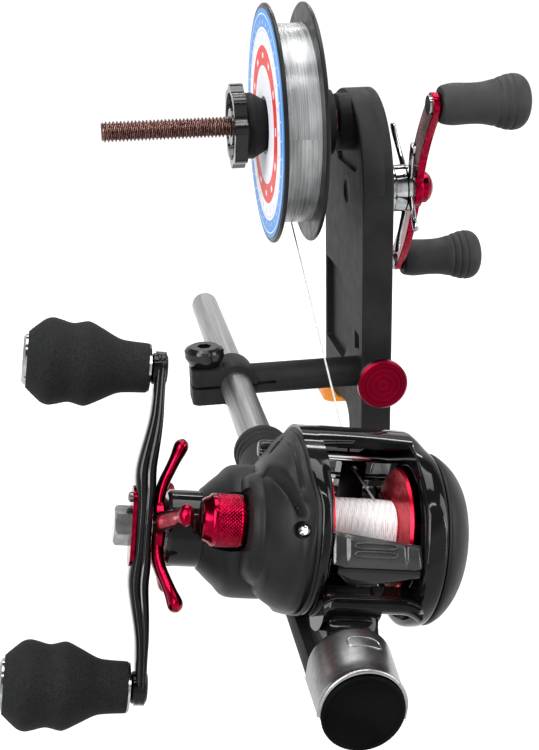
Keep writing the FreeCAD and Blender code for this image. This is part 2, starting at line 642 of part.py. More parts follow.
def make_crank():
    origin = V(0, CRANK_Y, CRANK_Z)
    gear_end = GEAR_X + WINDER_GEAR_T
    hub_x = HALF_T + GAP
    hub_end = hub_x + HUB_LEN
    arm_end = WINDER_ARM_X + WINDER_ARM_T
    shaft = turned([(-HALF_T + 1.0, 0), (-HALF_T + 1.0, 4.0), (gear_end, 4.0), (gear_end, CRANK_SHAFT_R),
                    (WINDER_ARM_X, CRANK_SHAFT_R), (WINDER_ARM_X, 4.0), (arm_end + 2.5, 4.0), (arm_end + 2.5, 0)],
                   origin)
    keep("crank_shaft", shaft)
    keep("crank_gear", gear(WINDER_MODULE, CRANK_TEETH, 90, (CRANK_Y, CRANK_Z), GEAR_X, gear_end, 4.0))

    inner = HUB_R - HUB_WALL
    base = 1.6
    hub = turned([(hub_x, CRANK_SHAFT_R), (hub_x, HUB_R - 0.6), (hub_x + 0.6, HUB_R), (hub_end - 5, HUB_R),
                  (hub_end - 4.2, HUB_R - 0.8), (hub_end, HUB_R - 0.8), (hub_end, inner),
                  (hub_x + base, inner), (hub_x + base, CRANK_SHAFT_R)], origin)
    keep("drag_hub", hub)
    washers = []
    for i in range(4):
        x = hub_x + base + 1.1 * i
        washers.append(pipe(inner - 0.2, CRANK_SHAFT_R + RUN, origin + V(x, 0, 0), origin + V(x + 1.0, 0, 0)))
    keep("drag_washers", group(washers))

    # star wheel: arms dish outwards a little, its sleeve presses on the washers
    sleeve_x = hub_x + base + 4.5
    blank = star(WINDER_STAR_R, 9.0, 7.5, 5.5, 42, WINDER_STAR_X - 4, WINDER_STAR_X + 4)
    t = WINDER_STAR_T
    lean = WINDER_STAR_DISH
    side = turned([(WINDER_STAR_X, 0), (WINDER_STAR_X, 12), (WINDER_STAR_X - lean, WINDER_STAR_R + 1),
                   (WINDER_STAR_X - lean + t * 0.8, WINDER_STAR_R + 1), (WINDER_STAR_X + t, 11),
                   (WINDER_STAR_X + t, 0)])
    wheel = blank.common(side).fuse(rod(6.6, V(sleeve_x, 0, 0), V(WINDER_ARM_X - 0.3, 0, 0)))
    wheel = wheel.cut(rod(CRANK_SHAFT_R + RUN, V(0, 0, 0), V(40, 0, 0)))
    keep("winder_star", moved(wheel.removeSplitter(), 0, CRANK_Y, CRANK_Z))

    # double crank with a pin riveted in each end
    arm = ribbon(WINDER_ARM, 11.0, 9.5, 2.5, WINDER_ARM_X, arm_end)
    arm = arm.fuse(rod(8.0, V(WINDER_ARM_X, 0, 0), V(arm_end, 0, 0)))
    arm = arm.cut(rod(4.0, V(WINDER_ARM_X - 1, 0, 0), V(arm_end + 1, 0, 0)))
    pins = []
    for side_sign, name in ((1, "crank_knob_upper"), (-1, "crank_knob_lower")):
        z = side_sign * WINDER_ARM
        arm = arm.cut(rod(KNOB_PIN_R, V(WINDER_ARM_X - 1, 0, z), V(arm_end + 1, 0, z)))
        knob_x = arm_end + GAP
        pin = turned([(WINDER_ARM_X - 1.0, 0), (WINDER_ARM_X - 1.0, 3.6), (WINDER_ARM_X, 3.6),
                      (WINDER_ARM_X, KNOB_PIN_R), (knob_x + 20, KNOB_PIN_R), (knob_x + 20, 4.0),
                      (knob_x + 22, 4.0), (knob_x + 22, 0)], V(0, 0, z))
        knob = moved(winder_knob(), knob_x, 0, z)
        knob = knob.cut(rod(KNOB_PIN_R + RUN, V(knob_x - 1, 0, z), V(knob_x + 20 - RUN, 0, z)))
        knob = knob.cut(rod(4.0 + RUN, V(knob_x + 20 - RUN, 0, z), V(knob_x + 22 + RUN, 0, z)))
        pins.append(pin)
        keep(name, moved(turn_about_x(knob, WINDER_ARM_ANGLE), 0, CRANK_Y, CRANK_Z))
    keep("winder_crank", moved(turn_about_x(arm.removeSplitter(), WINDER_ARM_ANGLE), 0, CRANK_Y, CRANK_Z))
    keep("crank_knob_pins", moved(turn_about_x(group(pins), WINDER_ARM_ANGLE), 0, CRANK_Y, CRANK_Z))
    cap = turned([(arm_end, 4.0), (arm_end, 6.3), (arm_end + 2.6, 6.3), (arm_end + 4.0, 5.2),
                  (arm_end + 5.0, 3.6), (arm_end + 5.3, 0), (arm_end + 2.5, 0), (arm_end + 2.5, 4.0)], origin)
    keep("crank_cap", cap)


# ------------------------------------------------------------------ cross arm, bar and seat
def make_cross_arm():
    arm = rod(ARM_R, V(BAR_X, ARM_Y, ARM_Z), V(HALF_T, ARM_Y, ARM_Z))
    half_w = CLAMP_W / 2
    y0, y1 = ARM_Y - half_w, ARM_Y + half_w
    block = box(CLAMP_LEFT, BAR_X, y0, y1, ARM_Z - CLAMP_H / 2, ARM_Z + CLAMP_H / 2)
    uprights = [e for e in block.Edges if abs(e.CenterOfMass.x - CLAMP_LEFT) < 1e-6
                and abs(e.tangentAt(e.FirstParameter).z) > 0.9]
    block = block.makeFillet(3.0, uprights)
    hump = rod(CLAMP_HUMP_R, V(BAR_X, y0, ARM_Z), V(BAR_X, y1, ARM_Z))
    arm = arm.fuse([block, hump]).removeSplitter()
    arm = arm.cut(rod(BAR_R + RUN, V(BAR_X, y0 - 1, ARM_Z), V(BAR_X, y1 + 1, ARM_Z)))
    arm = arm.cut(box(CLAMP_LEFT - 1, SLIT_END, y0 - 1, y1 + 1, ARM_Z - SLIT / 2, ARM_Z + SLIT / 2))
    top = ARM_Z + CLAMP_H / 2
    bottom = ARM_Z - CLAMP_H / 2
    arm = arm.cut(rod(M5_R + RUN, V(CLAMP_SCREW_X, ARM_Y, bottom - 1), V(CLAMP_SCREW_X, ARM_Y, top + 1)))
    keep("cross_arm", arm)

    # thumb screw of the bar clamp: tapered head with a hexagon socket
    head = 7.8
    knob = turned([(bottom + 0.5, 0), (bottom + 0.5, M5_R), (top + 0.05, M5_R), (top + 0.05, 5.8),
                   (top + 3.6, 7.7), (top + head - 1.6, 7.8), (top + head - 0.7, 7.1), (top + head, 5.6),
                   (top + head, 0)],
                  V(CLAMP_SCREW_X, ARM_Y, 0), Z_AXIS)
    hexagon = [V(CLAMP_SCREW_X + 2.9 * math.cos(math.radians(60 * i)),
                 ARM_Y + 2.9 * math.sin(math.radians(60 * i)), top + head - 3.0) for i in range(7)]
    knob = knob.cut(Part.Face(Part.makePolygon(hexagon)).extrude(V(0, 0, 5)))
    keep("bar_clamp_screw", knob)

    # red thumb screw that locks the arm in the column
    tip = ARM_Y - ARM_R - 0.05
    disc_back = LOCK_FRONT + LOCK_DISC_T
    lock = turned([(LOCK_FRONT, 0), (LOCK_FRONT, LOCK_DISC_R - 0.7), (LOCK_FRONT + 0.7, LOCK_DISC_R),
                   (disc_back - 0.7, LOCK_DISC_R), (disc_back, LOCK_DISC_R - 0.7), (disc_back, 5.0),
                   (COLUMN_FRONT - 0.3, 4.2), (COLUMN_FRONT - 0.3, M5_R), (tip, M5_R), (tip, 0)],
                  V(0, 0, ARM_Z), Y_AXIS)
    keep("arm_lock_screw", lock)


def on_bar(shape):
    """Place a piece modelled about the bar axis, leaning with the reel."""
    shape = shape.copy()
    shape.Placement = FreeCAD.Placement(V(BAR_X, 0, ARM_Z), FreeCAD.Rotation(Y_AXIS, REEL_ROLL)).multiply(
        shape.Placement)
    return shape


def make_bar_and_seat():
    keep("reel_bar", pipe(BAR_R, BAR_R - BAR_WALL, V(BAR_X, BAR_NEAR, ARM_Z), V(BAR_X, BAR_FAR, ARM_Z)))

    barrel_far = SEAT_FAR
    foot_far = REEL_Y + FOOT_SHIFT + FOOT_LEN / 2
    foot_near = REEL_Y + FOOT_SHIFT - FOOT_LEN / 2
    bore = BAR_R + RUN
    barrel = turned([(SEAT_NEAR, bore), (SEAT_NEAR, SEAT_R), (barrel_far - 1, SEAT_R), (barrel_far, SEAT_R - 1),
                     (barrel_far, bore)], V(0, 0, 0), Y_AXIS)
    # raised front hood over the far end of the reel foot
    hood = turned([(foot_far - 5, 0), (foot_far - 4, FRONT_HOOD_R), (foot_far + 3, FRONT_HOOD_R),
                   (foot_far - 5 + FRONT_HOOD_L, SEAT_R), (foot_far - 5 + FRONT_HOOD_L, 0)], V(0, 0, 0), Y_AXIS)
    rest_half = -(FRAME_LEFT + FRAME_LEFT_T) - GAP
    hood = hood.common(box(-rest_half, rest_half, -400, 0, 0, 20))
    barrel = barrel.fuse(hood)
    foot_half = FOOT_W / 2 + 0.05
    barrel = barrel.cut(box(-20, 20, foot_near, foot_far, SEAT_FLAT, SEAT_FLAT + FOOT_T))
    barrel = barrel.cut(box(-20, 20, foot_near, foot_far - 5, SEAT_FLAT, 30))
    # the reel's end rings hang beside the raised foot rest, which starts at the rear hood
    for x0, x1 in ((-20, -rest_half), (rest_half, 20)):
        barrel = barrel.cut(box(x0, x1, SEAT_NEAR + HOOD_LEN, REEL_Y + 24, 2.2, 30))
    barrel = barrel.cut(rod(bore, V(0, SEAT_NEAR - 1, 0), V(0, 0, 0)))
    keep("seat_barrel", on_bar(barrel.removeSplitter()))

    # ribbed ring that closes the seat's far end
    ring_far = barrel_far + SEAT_COLLAR_L
    step = SEAT_COLLAR_L / 4
    profile = [(barrel_far, bore)]
    for i in range(4):
        a = barrel_far + i * step
        r = SEAT_COLLAR_R - 0.45 * (3 - i)
        profile += [(a, r - 0.6), (a + 0.5, r), (a + step - 0.5, r), (a + step, r - 0.6)]
    profile += [(ring_far, bore)]
    keep("seat_collar", on_bar(turned(profile, V(0, 0, 0), Y_AXIS)))

    # metal rear hood: a saddle over the barrel that flares up over the foot's near end
    near = SEAT_NEAR
    far = SEAT_NEAR + HOOD_LEN
    outer = SEAT_R + HOOD_T
    saddle = belt_loft([(near, (0, 0, outer), (0, HOOD_RISE * 0.25, outer)),
                        (far, (0, 0, outer), (0, HOOD_RISE, outer))])
    saddle.rotate(V(0, 0, 0), Z_AXIS, 90)
    saddle = saddle.cut(rod(SEAT_R, V(0, near - 1, 0), V(0, far + 1, 0)))
    foot_room = box(-foot_half, foot_half, foot_near - 0.2, far + 1, 0, SEAT_FLAT + FOOT_T)
    saddle = saddle.cut(foot_room).cut(box(-20, 20, near - 1, far + 1, -30, -1.5))
    keep("rear_hood", on_bar(saddle.removeSplitter()))

    cap_near = SEAT_NEAR - END_CAP_T
    plug_r = BAR_R - BAR_WALL - RUN
    cap = turned([(cap_near, 0), (cap_near, SEAT_R - 1.6), (cap_near + 1.2, SEAT_R), (SEAT_NEAR, SEAT_R),
                  (SEAT_NEAR, plug_r), (SEAT_NEAR + 12, plug_r), (SEAT_NEAR + 12, 0)], V(0, 0, 0), Y_AXIS)
    keep("seat_end_cap", on_bar(cap))


# ------------------------------------------------------------------ reel, in its own frame
def on_reel(shape):
    shape = shape.copy()
    lift = V(0, REEL_Y, REEL_H)
    place = FreeCAD.Placement(V(BAR_X, 0, ARM_Z), FreeCAD.Rotation(Y_AXIS, REEL_ROLL))
    shape.Placement = place.multiply(FreeCAD.Placement(lift, FreeCAD.Rotation())).multiply(shape.Placement)
    return shape


def keep_reel(name, shape):
    keep(name, on_reel(shape))




def make_reel_frame():
    left_in = FRAME_LEFT + FRAME_LEFT_T
    right_out = FRAME_RIGHT + FRAME_RIGHT_T
    left = belt_slab(FRAME_LEFT, left_in, BODY_LEFT, NOSE)
    right = belt_slab(FRAME_RIGHT, right_out, BODY_RIGHT, NOSE)
    right = right.cut(rod(SPOOL_R + 0.6, V(FRAME_RIGHT - 1, 0, 0), V(right_out + 1, 0, 0)))
    over_hood = FRONT_HOOD_R + 0.4 - REEL_H
    bars = [
        polygon_slab([(-13, -15.4), (-19.0, -9.6), (-20.6, -8.4), (-23.2, -8.6), (-23.6, -10.6), (-21.8, -15.0),
                      (-14.5, FOOT_Z), (16.8, FOOT_Z), (17.8, over_hood), (28.6, over_hood + 0.5),
                      (30.4, -10.6), (27.6, -9.2), (20.5, -11.2), (13.0, -15.8)], left_in, FRAME_RIGHT),
        box(-FOOT_W / 2, FOOT_W / 2, FOOT_SHIFT - FOOT_LEN / 2, FOOT_SHIFT + FOOT_LEN / 2, FOOT_Z,
            FOOT_Z + FOOT_T),
    ]
    frame = left.fuse([right] + bars)
    frame = frame.cut(rod(SPOOL_R + 0.5, V(left_in, 0, 0), V(FRAME_RIGHT, 0, 0)))
    frame = frame.cut(rod(4.0, V(FRAME_LEFT - 1, 0, 0), V(left_in + 1, 0, 0)))
    frame = frame.cut(rod(DRIVE_SHAFT_R + RUN, V(FRAME_LEFT - 1, *DRIVE_AXIS), V(left_in - 1, *DRIVE_AXIS)))
    for y, z, r in (BAR_A, BAR_B, (WORM[0], WORM[1], 1.5 + RUN)):
        for x0, x1 in ((left_in - 1.2, left_in), (FRAME_RIGHT, FRAME_RIGHT + 1.2)):
            frame = frame.cut(rod(r, V(x0, y, z), V(x1, y, z)))
    frame = frame.cut(rod(1.5 + RUN, V(FRAME_LEFT - 1, *WORM[:2]), V(left_in, *WORM[:2])))
    keep_reel("reel_frame", frame.removeSplitter())

    rods = [rod(r, V(left_in - 1.2, y, z), V(FRAME_RIGHT + 1.2, y, z)) for y, z, r in (BAR_A, BAR_B)]
    keep_reel("guide_bars", group(rods))
    worm_r = WORM[2]
    ends = (WORM_GEAR_X - 0.3, FRAME_RIGHT + 1.1)
    profile = [(ends[0], 0), (ends[0], 1.5), (left_in + 0.4, 1.5), (left_in + 0.4, worm_r)]
    profile += [(FRAME_RIGHT - 0.4, worm_r), (FRAME_RIGHT - 0.4, 1.5), (ends[1], 1.5), (ends[1], 0)]
    worm = turned(profile, V(0, WORM[0], WORM[1]))
    phase = WORM_ANGLE + 180 + 180 / WORM_TEETH
    wheel = gear(REEL_MODULE, WORM_TEETH, phase, WORM[:2], WORM_GEAR_X, WORM_GEAR_X + WORM_GEAR_T, 1.0)
    keep_reel("levelwind_worm", worm.fuse(wheel))

    # front cover over the level wind
    outer = [(3.4, 21.7), (6.0, 22.2), (9.0, 22.3), (14.0, 21.4), (19.0, 19.4), (24.0, 16.2), (28.6, 12.0),
             (31.6, 8.6)]
    inner = [(30.0, 7.5), (28.0, 9.9), (23.4, 14.0), (18.4, 17.1), (13.6, 18.9), (9.0, 20.0), (6.0, 20.2),
             (3.6, 19.9)]
    keep_reel("levelwind_cover", polygon_slab(outer + inner, left_in, FRAME_RIGHT))

    # line guide that rides on the worm and the lower bar
    guide_x, half = GUIDE_X, 3.5
    guide = box(guide_x - half, guide_x + half, 23.0, 28.6, -5.8, 7.6)
    guide = guide.cut(rod(worm_r + RUN, V(-20, WORM[0], WORM[1]), V(30, WORM[0], WORM[1])))
    guide = guide.cut(rod(BAR_B[2] + RUN, V(-20, BAR_B[0], BAR_B[1]), V(30, BAR_B[0], BAR_B[1])))
    eye = rod(1.2, V(guide_x, 20, LINE_Z), V(guide_x, 32, LINE_Z))
    keep_reel("line_guide", guide.cut(eye))




def plate_sections():
    """Outlines of the gear side plate from the frame outwards."""
    y, z, r = BODY_LEFT
    return [
        (FRAME_LEFT, (y, z, r), (NOSE_Y, NOSE_Z, NOSE_R)),
        (FRAME_LEFT - 5, (y, z, r - 0.9), (15.5, -5.6, 16.6)),
        (FRAME_LEFT - 11, (-0.5, -2.0, 18.6), (DRIVE_Y, DRIVE_Z, 17.0)),
        (FRAME_LEFT - 17, (0.5, -4.0, 14.0), (DRIVE_Y, DRIVE_Z, 16.8)),
        (FRAME_LEFT - 20.5, (4.0, -5.5, 10.0), (DRIVE_Y, DRIVE_Z, 13.4)),
        (NECK_X, (8.0, -7.0, 7.5), (DRIVE_Y, DRIVE_Z, NECK_R + 0.2)),
    ]


def make_side_plates():
    plate = belt_loft(plate_sections())
    # gear chamber
    room = 14.6
    plate = plate.cut(rod(room, V(FRAME_LEFT + 1, *DRIVE_AXIS), V(FRAME_LEFT - 8, *DRIVE_AXIS)))
    plate = plate.cut(rod(6.5, V(FRAME_LEFT + 1, 0, 0), V(FRAME_LEFT - 10, 0, 0)))
    plate = plate.cut(rod(REEL_MODULE * (WORM_TEETH / 2 + 1) + 0.6, V(FRAME_LEFT + 1, *WORM[:2]),
                          V(WORM_GEAR_X - 0.8, *WORM[:2])))
    # small ribbed latch of the side plate, on the far upper shoulder
    plate = plate.fuse(rod(2.6, V(FRAME_LEFT - 7.6, 29.4, 8.8), V(FRAME_LEFT - 1.0, 29.4, 8.8)))
    # scoop for the cast control knob and the threaded boss that it turns on
    knob_end = CAST_CAP_X + CAST_CAP_LEN
    scoop = belt_slab(NECK_X - 1, knob_end + GAP, (0, 0, CAST_CAP_R + 0.7), (-22, 13, 8.6))
    plate = plate.cut(scoop)
    plate = plate.fuse(rod(CAST_BOSS_R, V(CAST_CAP_X + 2.5, 0, 0), V(FRAME_LEFT - 9, 0, 0)))
    plate = plate.cut(rod(SPOOL_SHAFT_R + RUN, V(CAST_CAP_X, 0, 0), V(FRAME_LEFT, 0, 0)))
    plate = plate.cut(rod(DRIVE_SHAFT_R + RUN, V(NECK_X - 1, *DRIVE_AXIS), V(FRAME_LEFT, *DRIVE_AXIS)))
    # screws
    spots = [(V(-13.6, -18.4, 7.3), V(-0.62, -0.66, 0.42)), (V(-15.0, 14.0, 13.5), V(-0.8, 0.1, 0.6))]
    screws = []
    for seat, out in spots:
        out = out.normalize()
        plate = plate.cut(rod(1.9, seat, seat + out * 10))
        plate = plate.cut(rod(0.9, seat - out * 3.6, seat))
        screws.append(pan_screw(seat, out, 1.6, 1.1, 0.9, 3.4))
    keep_reel("gear_side_plate", plate.removeSplitter())
    keep_reel("plate_screws", group(screws))

    neck_end = NECK_X - NECK_LEN
    neck = turned([(NECK_X, DRIVE_SHAFT_R + RUN), (NECK_X, NECK_R), (neck_end + 0.8, NECK_R),
                   (neck_end, NECK_R - 0.8), (neck_end, DRIVE_SHAFT_R + RUN)], V(0, *DRIVE_AXIS))
    keep_reel("gear_neck", neck)

    right = FRAME_RIGHT + FRAME_RIGHT_T
    palm = belt_loft([
        (right, (BODY_RIGHT[0], BODY_RIGHT[1], RIGHT_R - 0.6), (NOSE_Y, NOSE_Z, NOSE_R - 0.8)),
        (right + 4.5, (BODY_RIGHT[0], BODY_RIGHT[1], RIGHT_R - 3.2), (NOSE_Y - 1.2, NOSE_Z - 0.6, NOSE_R - 4.2)),
        (right + 8.6, (0.4, -1.4, 13.0), (12.0, -4.0, 8.0)),
    ])
    hollow = belt_loft([
        (right, (0, 0, SPOOL_R), (NOSE_Y - 3, NOSE_Z, NOSE_R - 5.0)),
        (right + 3.6, (0, 0, SPOOL_R - 1.0), (NOSE_Y - 4, NOSE_Z, NOSE_R - 7.0)),
    ])
    palm = palm.cut(hollow)
    palm = palm.fuse(rod(4.5, V(right + 1.0, 0, 0), V(right + 4.5, 0, 0)))
    palm = palm.cut(rod(SPOOL_SHAFT_R + RUN, V(right, 0, 0), V(right + 3.6, 0, 0)))
    keep_reel("palm_side_plate", palm.removeSplitter())


def make_reel_spool():
    left_in = FRAME_LEFT + FRAME_LEFT_T
    right = FRAME_RIGHT + FRAME_RIGHT_T
    x0, x1 = left_in + GAP, FRAME_RIGHT - GAP
    spool = turned([(CAST_CAP_X + 2.9, 0), (CAST_CAP_X + 2.9, SPOOL_SHAFT_R), (x0 - 0.2, SPOOL_SHAFT_R),
                    (x0, 4.0), (x0 + 0.3, SPOOL_R - 0.4), (x0 + 0.8, SPOOL_R), (x0 + 1.5, SPOOL_R - 0.4),
                    (x0 + 2.0, ARBOR_R + 2), (x0 + 2.3, ARBOR_R), (x1 - 2.3, ARBOR_R), (x1 - 2.0, ARBOR_R + 2),
                    (x1 - 1.5, SPOOL_R - 0.4), (x1 - 0.8, SPOOL_R), (x1 - 0.3, SPOOL_R - 0.4), (x1, 4.0),
                    (x1 + 0.2, SPOOL_SHAFT_R), (right + 3.4, SPOOL_SHAFT_R), (right + 3.4, 0)])
    keep_reel("reel_spool", spool)
    keep_reel("reel_line", pipe(REEL_LINE_R, ARBOR_R, V(x0 + 2.3, 0, 0), V(x1 - 2.3, 0, 0)))
    gear_end = DRIVE_GEAR_X + DRIVE_GEAR_T
    keep_reel("pinion_gear", gear(REEL_MODULE, REEL_PINION_TEETH, DRIVE_ANGLE + 180 / REEL_PINION_TEETH,
                                  SPOOL_AXIS, DRIVE_GEAR_X - 2.5, gear_end + 1.0, SPOOL_SHAFT_R))

    cap_end = CAST_CAP_X + CAST_CAP_LEN
    cap = turned([(CAST_CAP_X, 0), (CAST_CAP_X, CAST_CAP_R - 1.7), (CAST_CAP_X + 0.6, CAST_CAP_R - 1.3),
                  (CAST_CAP_X + 1.9, CAST_CAP_R - 1.0), (CAST_CAP_X + 2.6, CAST_CAP_R),
                  (cap_end - 1.0, CAST_CAP_R), (cap_end, CAST_CAP_R - 0.6),
                  (cap_end, CAST_BOSS_R + RUN), (CAST_CAP_X + 2.4, CAST_BOSS_R + RUN), (CAST_CAP_X + 2.4, 0)])
    keep_reel("cast_control_cap", cap)

    bar = polygon_slab([(-16.4, 6.2), (-18.6, 7.2), (-20.9, 4.4), (-22.6, 1.9), (-23.2, 0.0), (-21.4, -0.6),
                        (-19.8, 1.6), (-17.8, 3.6)], left_in + GAP, FRAME_RIGHT - GAP)
    keep_reel("thumb_bar", bar)


def make_reel_drive():
    shaft_end = HANDLE_X - 3.4
    left_in = FRAME_LEFT + FRAME_LEFT_T
    origin = V(0, *DRIVE_AXIS)
    keep_reel("drive_shaft", rod(DRIVE_SHAFT_R, V(shaft_end, *DRIVE_AXIS), V(left_in - 1.2, *DRIVE_AXIS)))
    main = gear(REEL_MODULE, DRIVE_TEETH, DRIVE_ANGLE + 180, DRIVE_AXIS, DRIVE_GEAR_X,
                DRIVE_GEAR_X + DRIVE_GEAR_T, DRIVE_SHAFT_R)
    small = gear(REEL_MODULE, WORM_DRIVE_TEETH, WORM_ANGLE, DRIVE_AXIS, WORM_GEAR_X,
                 WORM_GEAR_X + WORM_GEAR_T, DRIVE_SHAFT_R)
    web = pipe(6.0, DRIVE_SHAFT_R, V(DRIVE_GEAR_X + DRIVE_GEAR_T, *DRIVE_AXIS), V(WORM_GEAR_X, *DRIVE_AXIS))
    keep_reel("drive_gear", main.fuse([web, small]))

    # star drag: arms swept towards the reel
    neck_end = NECK_X - NECK_LEN
    blank = star(REEL_STAR_R, 6.8, 6.0, 5.0, -17, REEL_STAR_X - 1, neck_end + 12)
    x0, x1 = REEL_STAR_X, neck_end - GAP
    side = turned([(x0, 0), (x0, 7), (x0 + 0.9, 14), (x0 + 3.9, REEL_STAR_R + 1), (x0 + 6.1, REEL_STAR_R + 1),
                   (x0 + 3.4, 14), (x1, 8.5), (x1, 0)])
    wheel = blank.common(side).cut(rod(DRIVE_SHAFT_R + RUN, V(x0 - 2, 0, 0), V(x1 + 2, 0, 0)))
    keep_reel("reel_star", moved(wheel.removeSplitter(), 0, *DRIVE_AXIS))

    # double handle: the ends are set in towards the reel
    x_out, x_in = HANDLE_X, HANDLE_X + HANDLE_T
    reach = HANDLE_ARM + 12
    outline = ribbon(HANDLE_ARM, 9.5, 8.0, -3.2, x_out - 1, x_in + HANDLE_SWEEP + 1)
    outline = outline.fuse(rod(7.2, V(x_out - 1, 0, 0), V(x_in + HANDLE_SWEEP + 1, 0, 0)))
    flat, bend = 11.0, 30.0
    bottom_line = [(0, 0), (flat, 0), (bend, HANDLE_SWEEP), (reach, HANDLE_SWEEP)]
    path = [(-s, x_out + dx) for s, dx in reversed(bottom_line)] + [(s, x_out + dx) for s, dx in bottom_line[1:]]
    upper = [(s, x + HANDLE_T) for s, x in reversed(path)]
    side = [V(x, -20, s) for s, x in path + upper]
    strip = Part.Face(Part.makePolygon(side + side[:1])).extrude(V(0, 40, 0))
    arm = outline.common(strip).removeSplitter()
    arm = arm.cut(rod(DRIVE_SHAFT_R, V(x_out - 1, 0, 0), V(x_in + 1, 0, 0)))
    end_out = x_out + HANDLE_SWEEP
    spindles = []
    for sign, name in ((1, "upper"), (-1, "lower")):
        z = sign * HANDLE_ARM
        arm = arm.cut(rod(SPINDLE_R, V(end_out - 1, 0, z), V(end_out + HANDLE_T + 1, 0, z)))
        root = end_out - 1.5
        spindle = turned([(end_out + HANDLE_T + 0.8, 0), (end_out + HANDLE_T + 0.8, 3.0),
                          (end_out + HANDLE_T, 3.0), (end_out + HANDLE_T, SPINDLE_R), (end_out, SPINDLE_R),
                          (end_out, 3.2), (root + 0.1, 3.2), (root + 0.1, SPINDLE_R),
                          (root - GRIP_LEN + 4, SPINDLE_R), (root - GRIP_LEN + 4, 0)], V(0, 0, z))
        spindles.append(spindle)
        grip = turned_smooth([(root, 6.0), (root - 1.0, 6.4), (root - 8, 7.4), (root - 13, 9.6),
                              (root - 17.5, GRIP_R), (root - 20.5, 11.3), (root - 23, 11.4),
                              (root - 26.5, GRIP_R), (root - 29.3, 10.6), (root - GRIP_LEN, 8.0)], V(0, 0, z))
        grip = grip.cut(rod(SPINDLE_R + RUN, V(root + 1, 0, z), V(root - GRIP_LEN + 4 - RUN, 0, z)))
        cap_x = root - GRIP_LEN
        grip = grip.cut(rod(6.6, V(cap_x + 1.4, 0, z), V(cap_x - 1, 0, z)))
        cap = turned([(cap_x + 1.4, 0), (cap_x + 1.4, 6.6), (cap_x - 0.5, 6.6), (cap_x - 1.1, 5.9),
                      (cap_x - 1.1, 4.6), (cap_x - 0.5, 4.2), (cap_x - 0.5, 0)], V(0, 0, z))
        keep_reel("grip_" + name, moved(turn_about_x(grip, HANDLE_ANGLE), 0, *DRIVE_AXIS))
        keep_reel("grip_cap_" + name, moved(turn_about_x(cap, HANDLE_ANGLE), 0, *DRIVE_AXIS))
    keep_reel("reel_handle", moved(turn_about_x(arm, HANDLE_ANGLE), 0, *DRIVE_AXIS))
    keep_reel("grip_spindles", moved(turn_about_x(group(spindles), HANDLE_ANGLE), 0, *DRIVE_AXIS))

    retainer = belt_slab(x_out - 1.1, x_out, (0, 6.0, 4.4), (0, -6.0, 4.4))
    retainer = retainer.cut(rod(DRIVE_SHAFT_R, V(x_out - 2, 0, 0), V(x_out + 1, 0, 0)))
    keep_reel("handle_retainer", moved(turn_about_x(retainer, HANDLE_ANGLE), 0, *DRIVE_AXIS))
    nut_in = x_out - 1.1
    corners = [V(nut_in - 4.4, 5.2 * math.cos(math.radians(60 * i)), 5.2 * math.sin(math.radians(60 * i)))
               for i in range(7)]
    nut = Part.Face(Part.makePolygon(corners)).extrude(V(4.4, 0, 0))
    nut = nut.common(turned([(nut_in - 4.4, 0), (nut_in - 4.4, 4.4), (nut_in - 3.6, 5.3), (nut_in, 5.3),
                             (nut_in, 0)]))
    nut = nut.cut(rod(DRIVE_SHAFT_R, V(nut_in - 3.0, 0, 0), V(nut_in + 1, 0, 0)))
    nut.translate(origin)
    keep_reel("handle_nut", nut)


# ------------------------------------------------------------------ line from spool to reel
def reel_point(x, y, z):
    """A point of the reel's frame in the part's frame."""
    lean = FreeCAD.Rotation(Y_AXIS, REEL_ROLL)
    return V(BAR_X, 0, ARM_Z) + lean.multVec(V(x, REEL_Y + y, REEL_H + z))


def make_line():
    """Taut line: off the underside of the supply spool, through the guide's eye, onto the reel."""
    eye = reel_point(GUIDE_X, 26.0, LINE_Z)
    x = (SUPPLY_LEFT + SUPPLY_RIGHT) / 2 + 2.0
    reach = WOUND_R + LINE_R + 0.02
    span = math.hypot(SHAFT_Y - eye.y, SHAFT_Z - eye.z)
    base = math.atan2(eye.z - SHAFT_Z, eye.y - SHAFT_Y)
    angle = base + math.acos(reach / span)
    start = V(x, SHAFT_Y + reach * math.cos(angle), SHAFT_Z + reach * math.sin(angle))
    over = REEL_LINE_R + LINE_R + 0.02
    span_r = math.hypot(26.0, LINE_Z)
    angle_r = math.atan2(LINE_Z, 26.0) + math.acos(over / span_r)
    end = reel_point(GUIDE_X, over * math.cos(angle_r), over * math.sin(angle_r))
    inward, outward = (eye - start).normalize(), (end - eye).normalize()
    half = math.pi / 2 - inward.getAngle(outward) / 2
    radius = 6.0
    reach_arc = radius / math.tan(half)
    a, b = eye - inward * reach_arc, eye + outward * reach_arc
    centre_dir = (outward - inward).normalize()
    middle = eye + centre_dir * (radius / math.sin(half) - radius)
    path = Part.Wire([Part.makeLine(start, a), Part.Arc(a, middle, b).toShape(), Part.makeLine(b, end)])
    section = Part.Wire([Part.Circle(start, inward, LINE_R).toShape()])
    line = path.makePipeShell([section], True, False)
    length = path.Length
    share = line.Volume / (math.pi * LINE_R ** 2 * length)
    print("line: start", start, "eye", eye, "end", end)
    print("line: length %.1f, bend radius %.1f, volume share %.4f" % (length, radius, share))
    keep("line_run", line)


make_column()
make_table_clamp()
make_spool_shaft()
make_crank()
make_cross_arm()
make_bar_and_seat()
make_reel_frame()
make_side_plates()
make_reel_spool()
make_reel_drive()
make_line()

for node, solid in NODES.items():
    solid.exportStep("parts/%s.step" % node)
print(len(NODES), "nodes")
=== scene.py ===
"""Fishing line winder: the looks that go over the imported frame. Metres, in the frame's own axes."""
import math

import bmesh
import bpy
from mathutils import Matrix, Vector


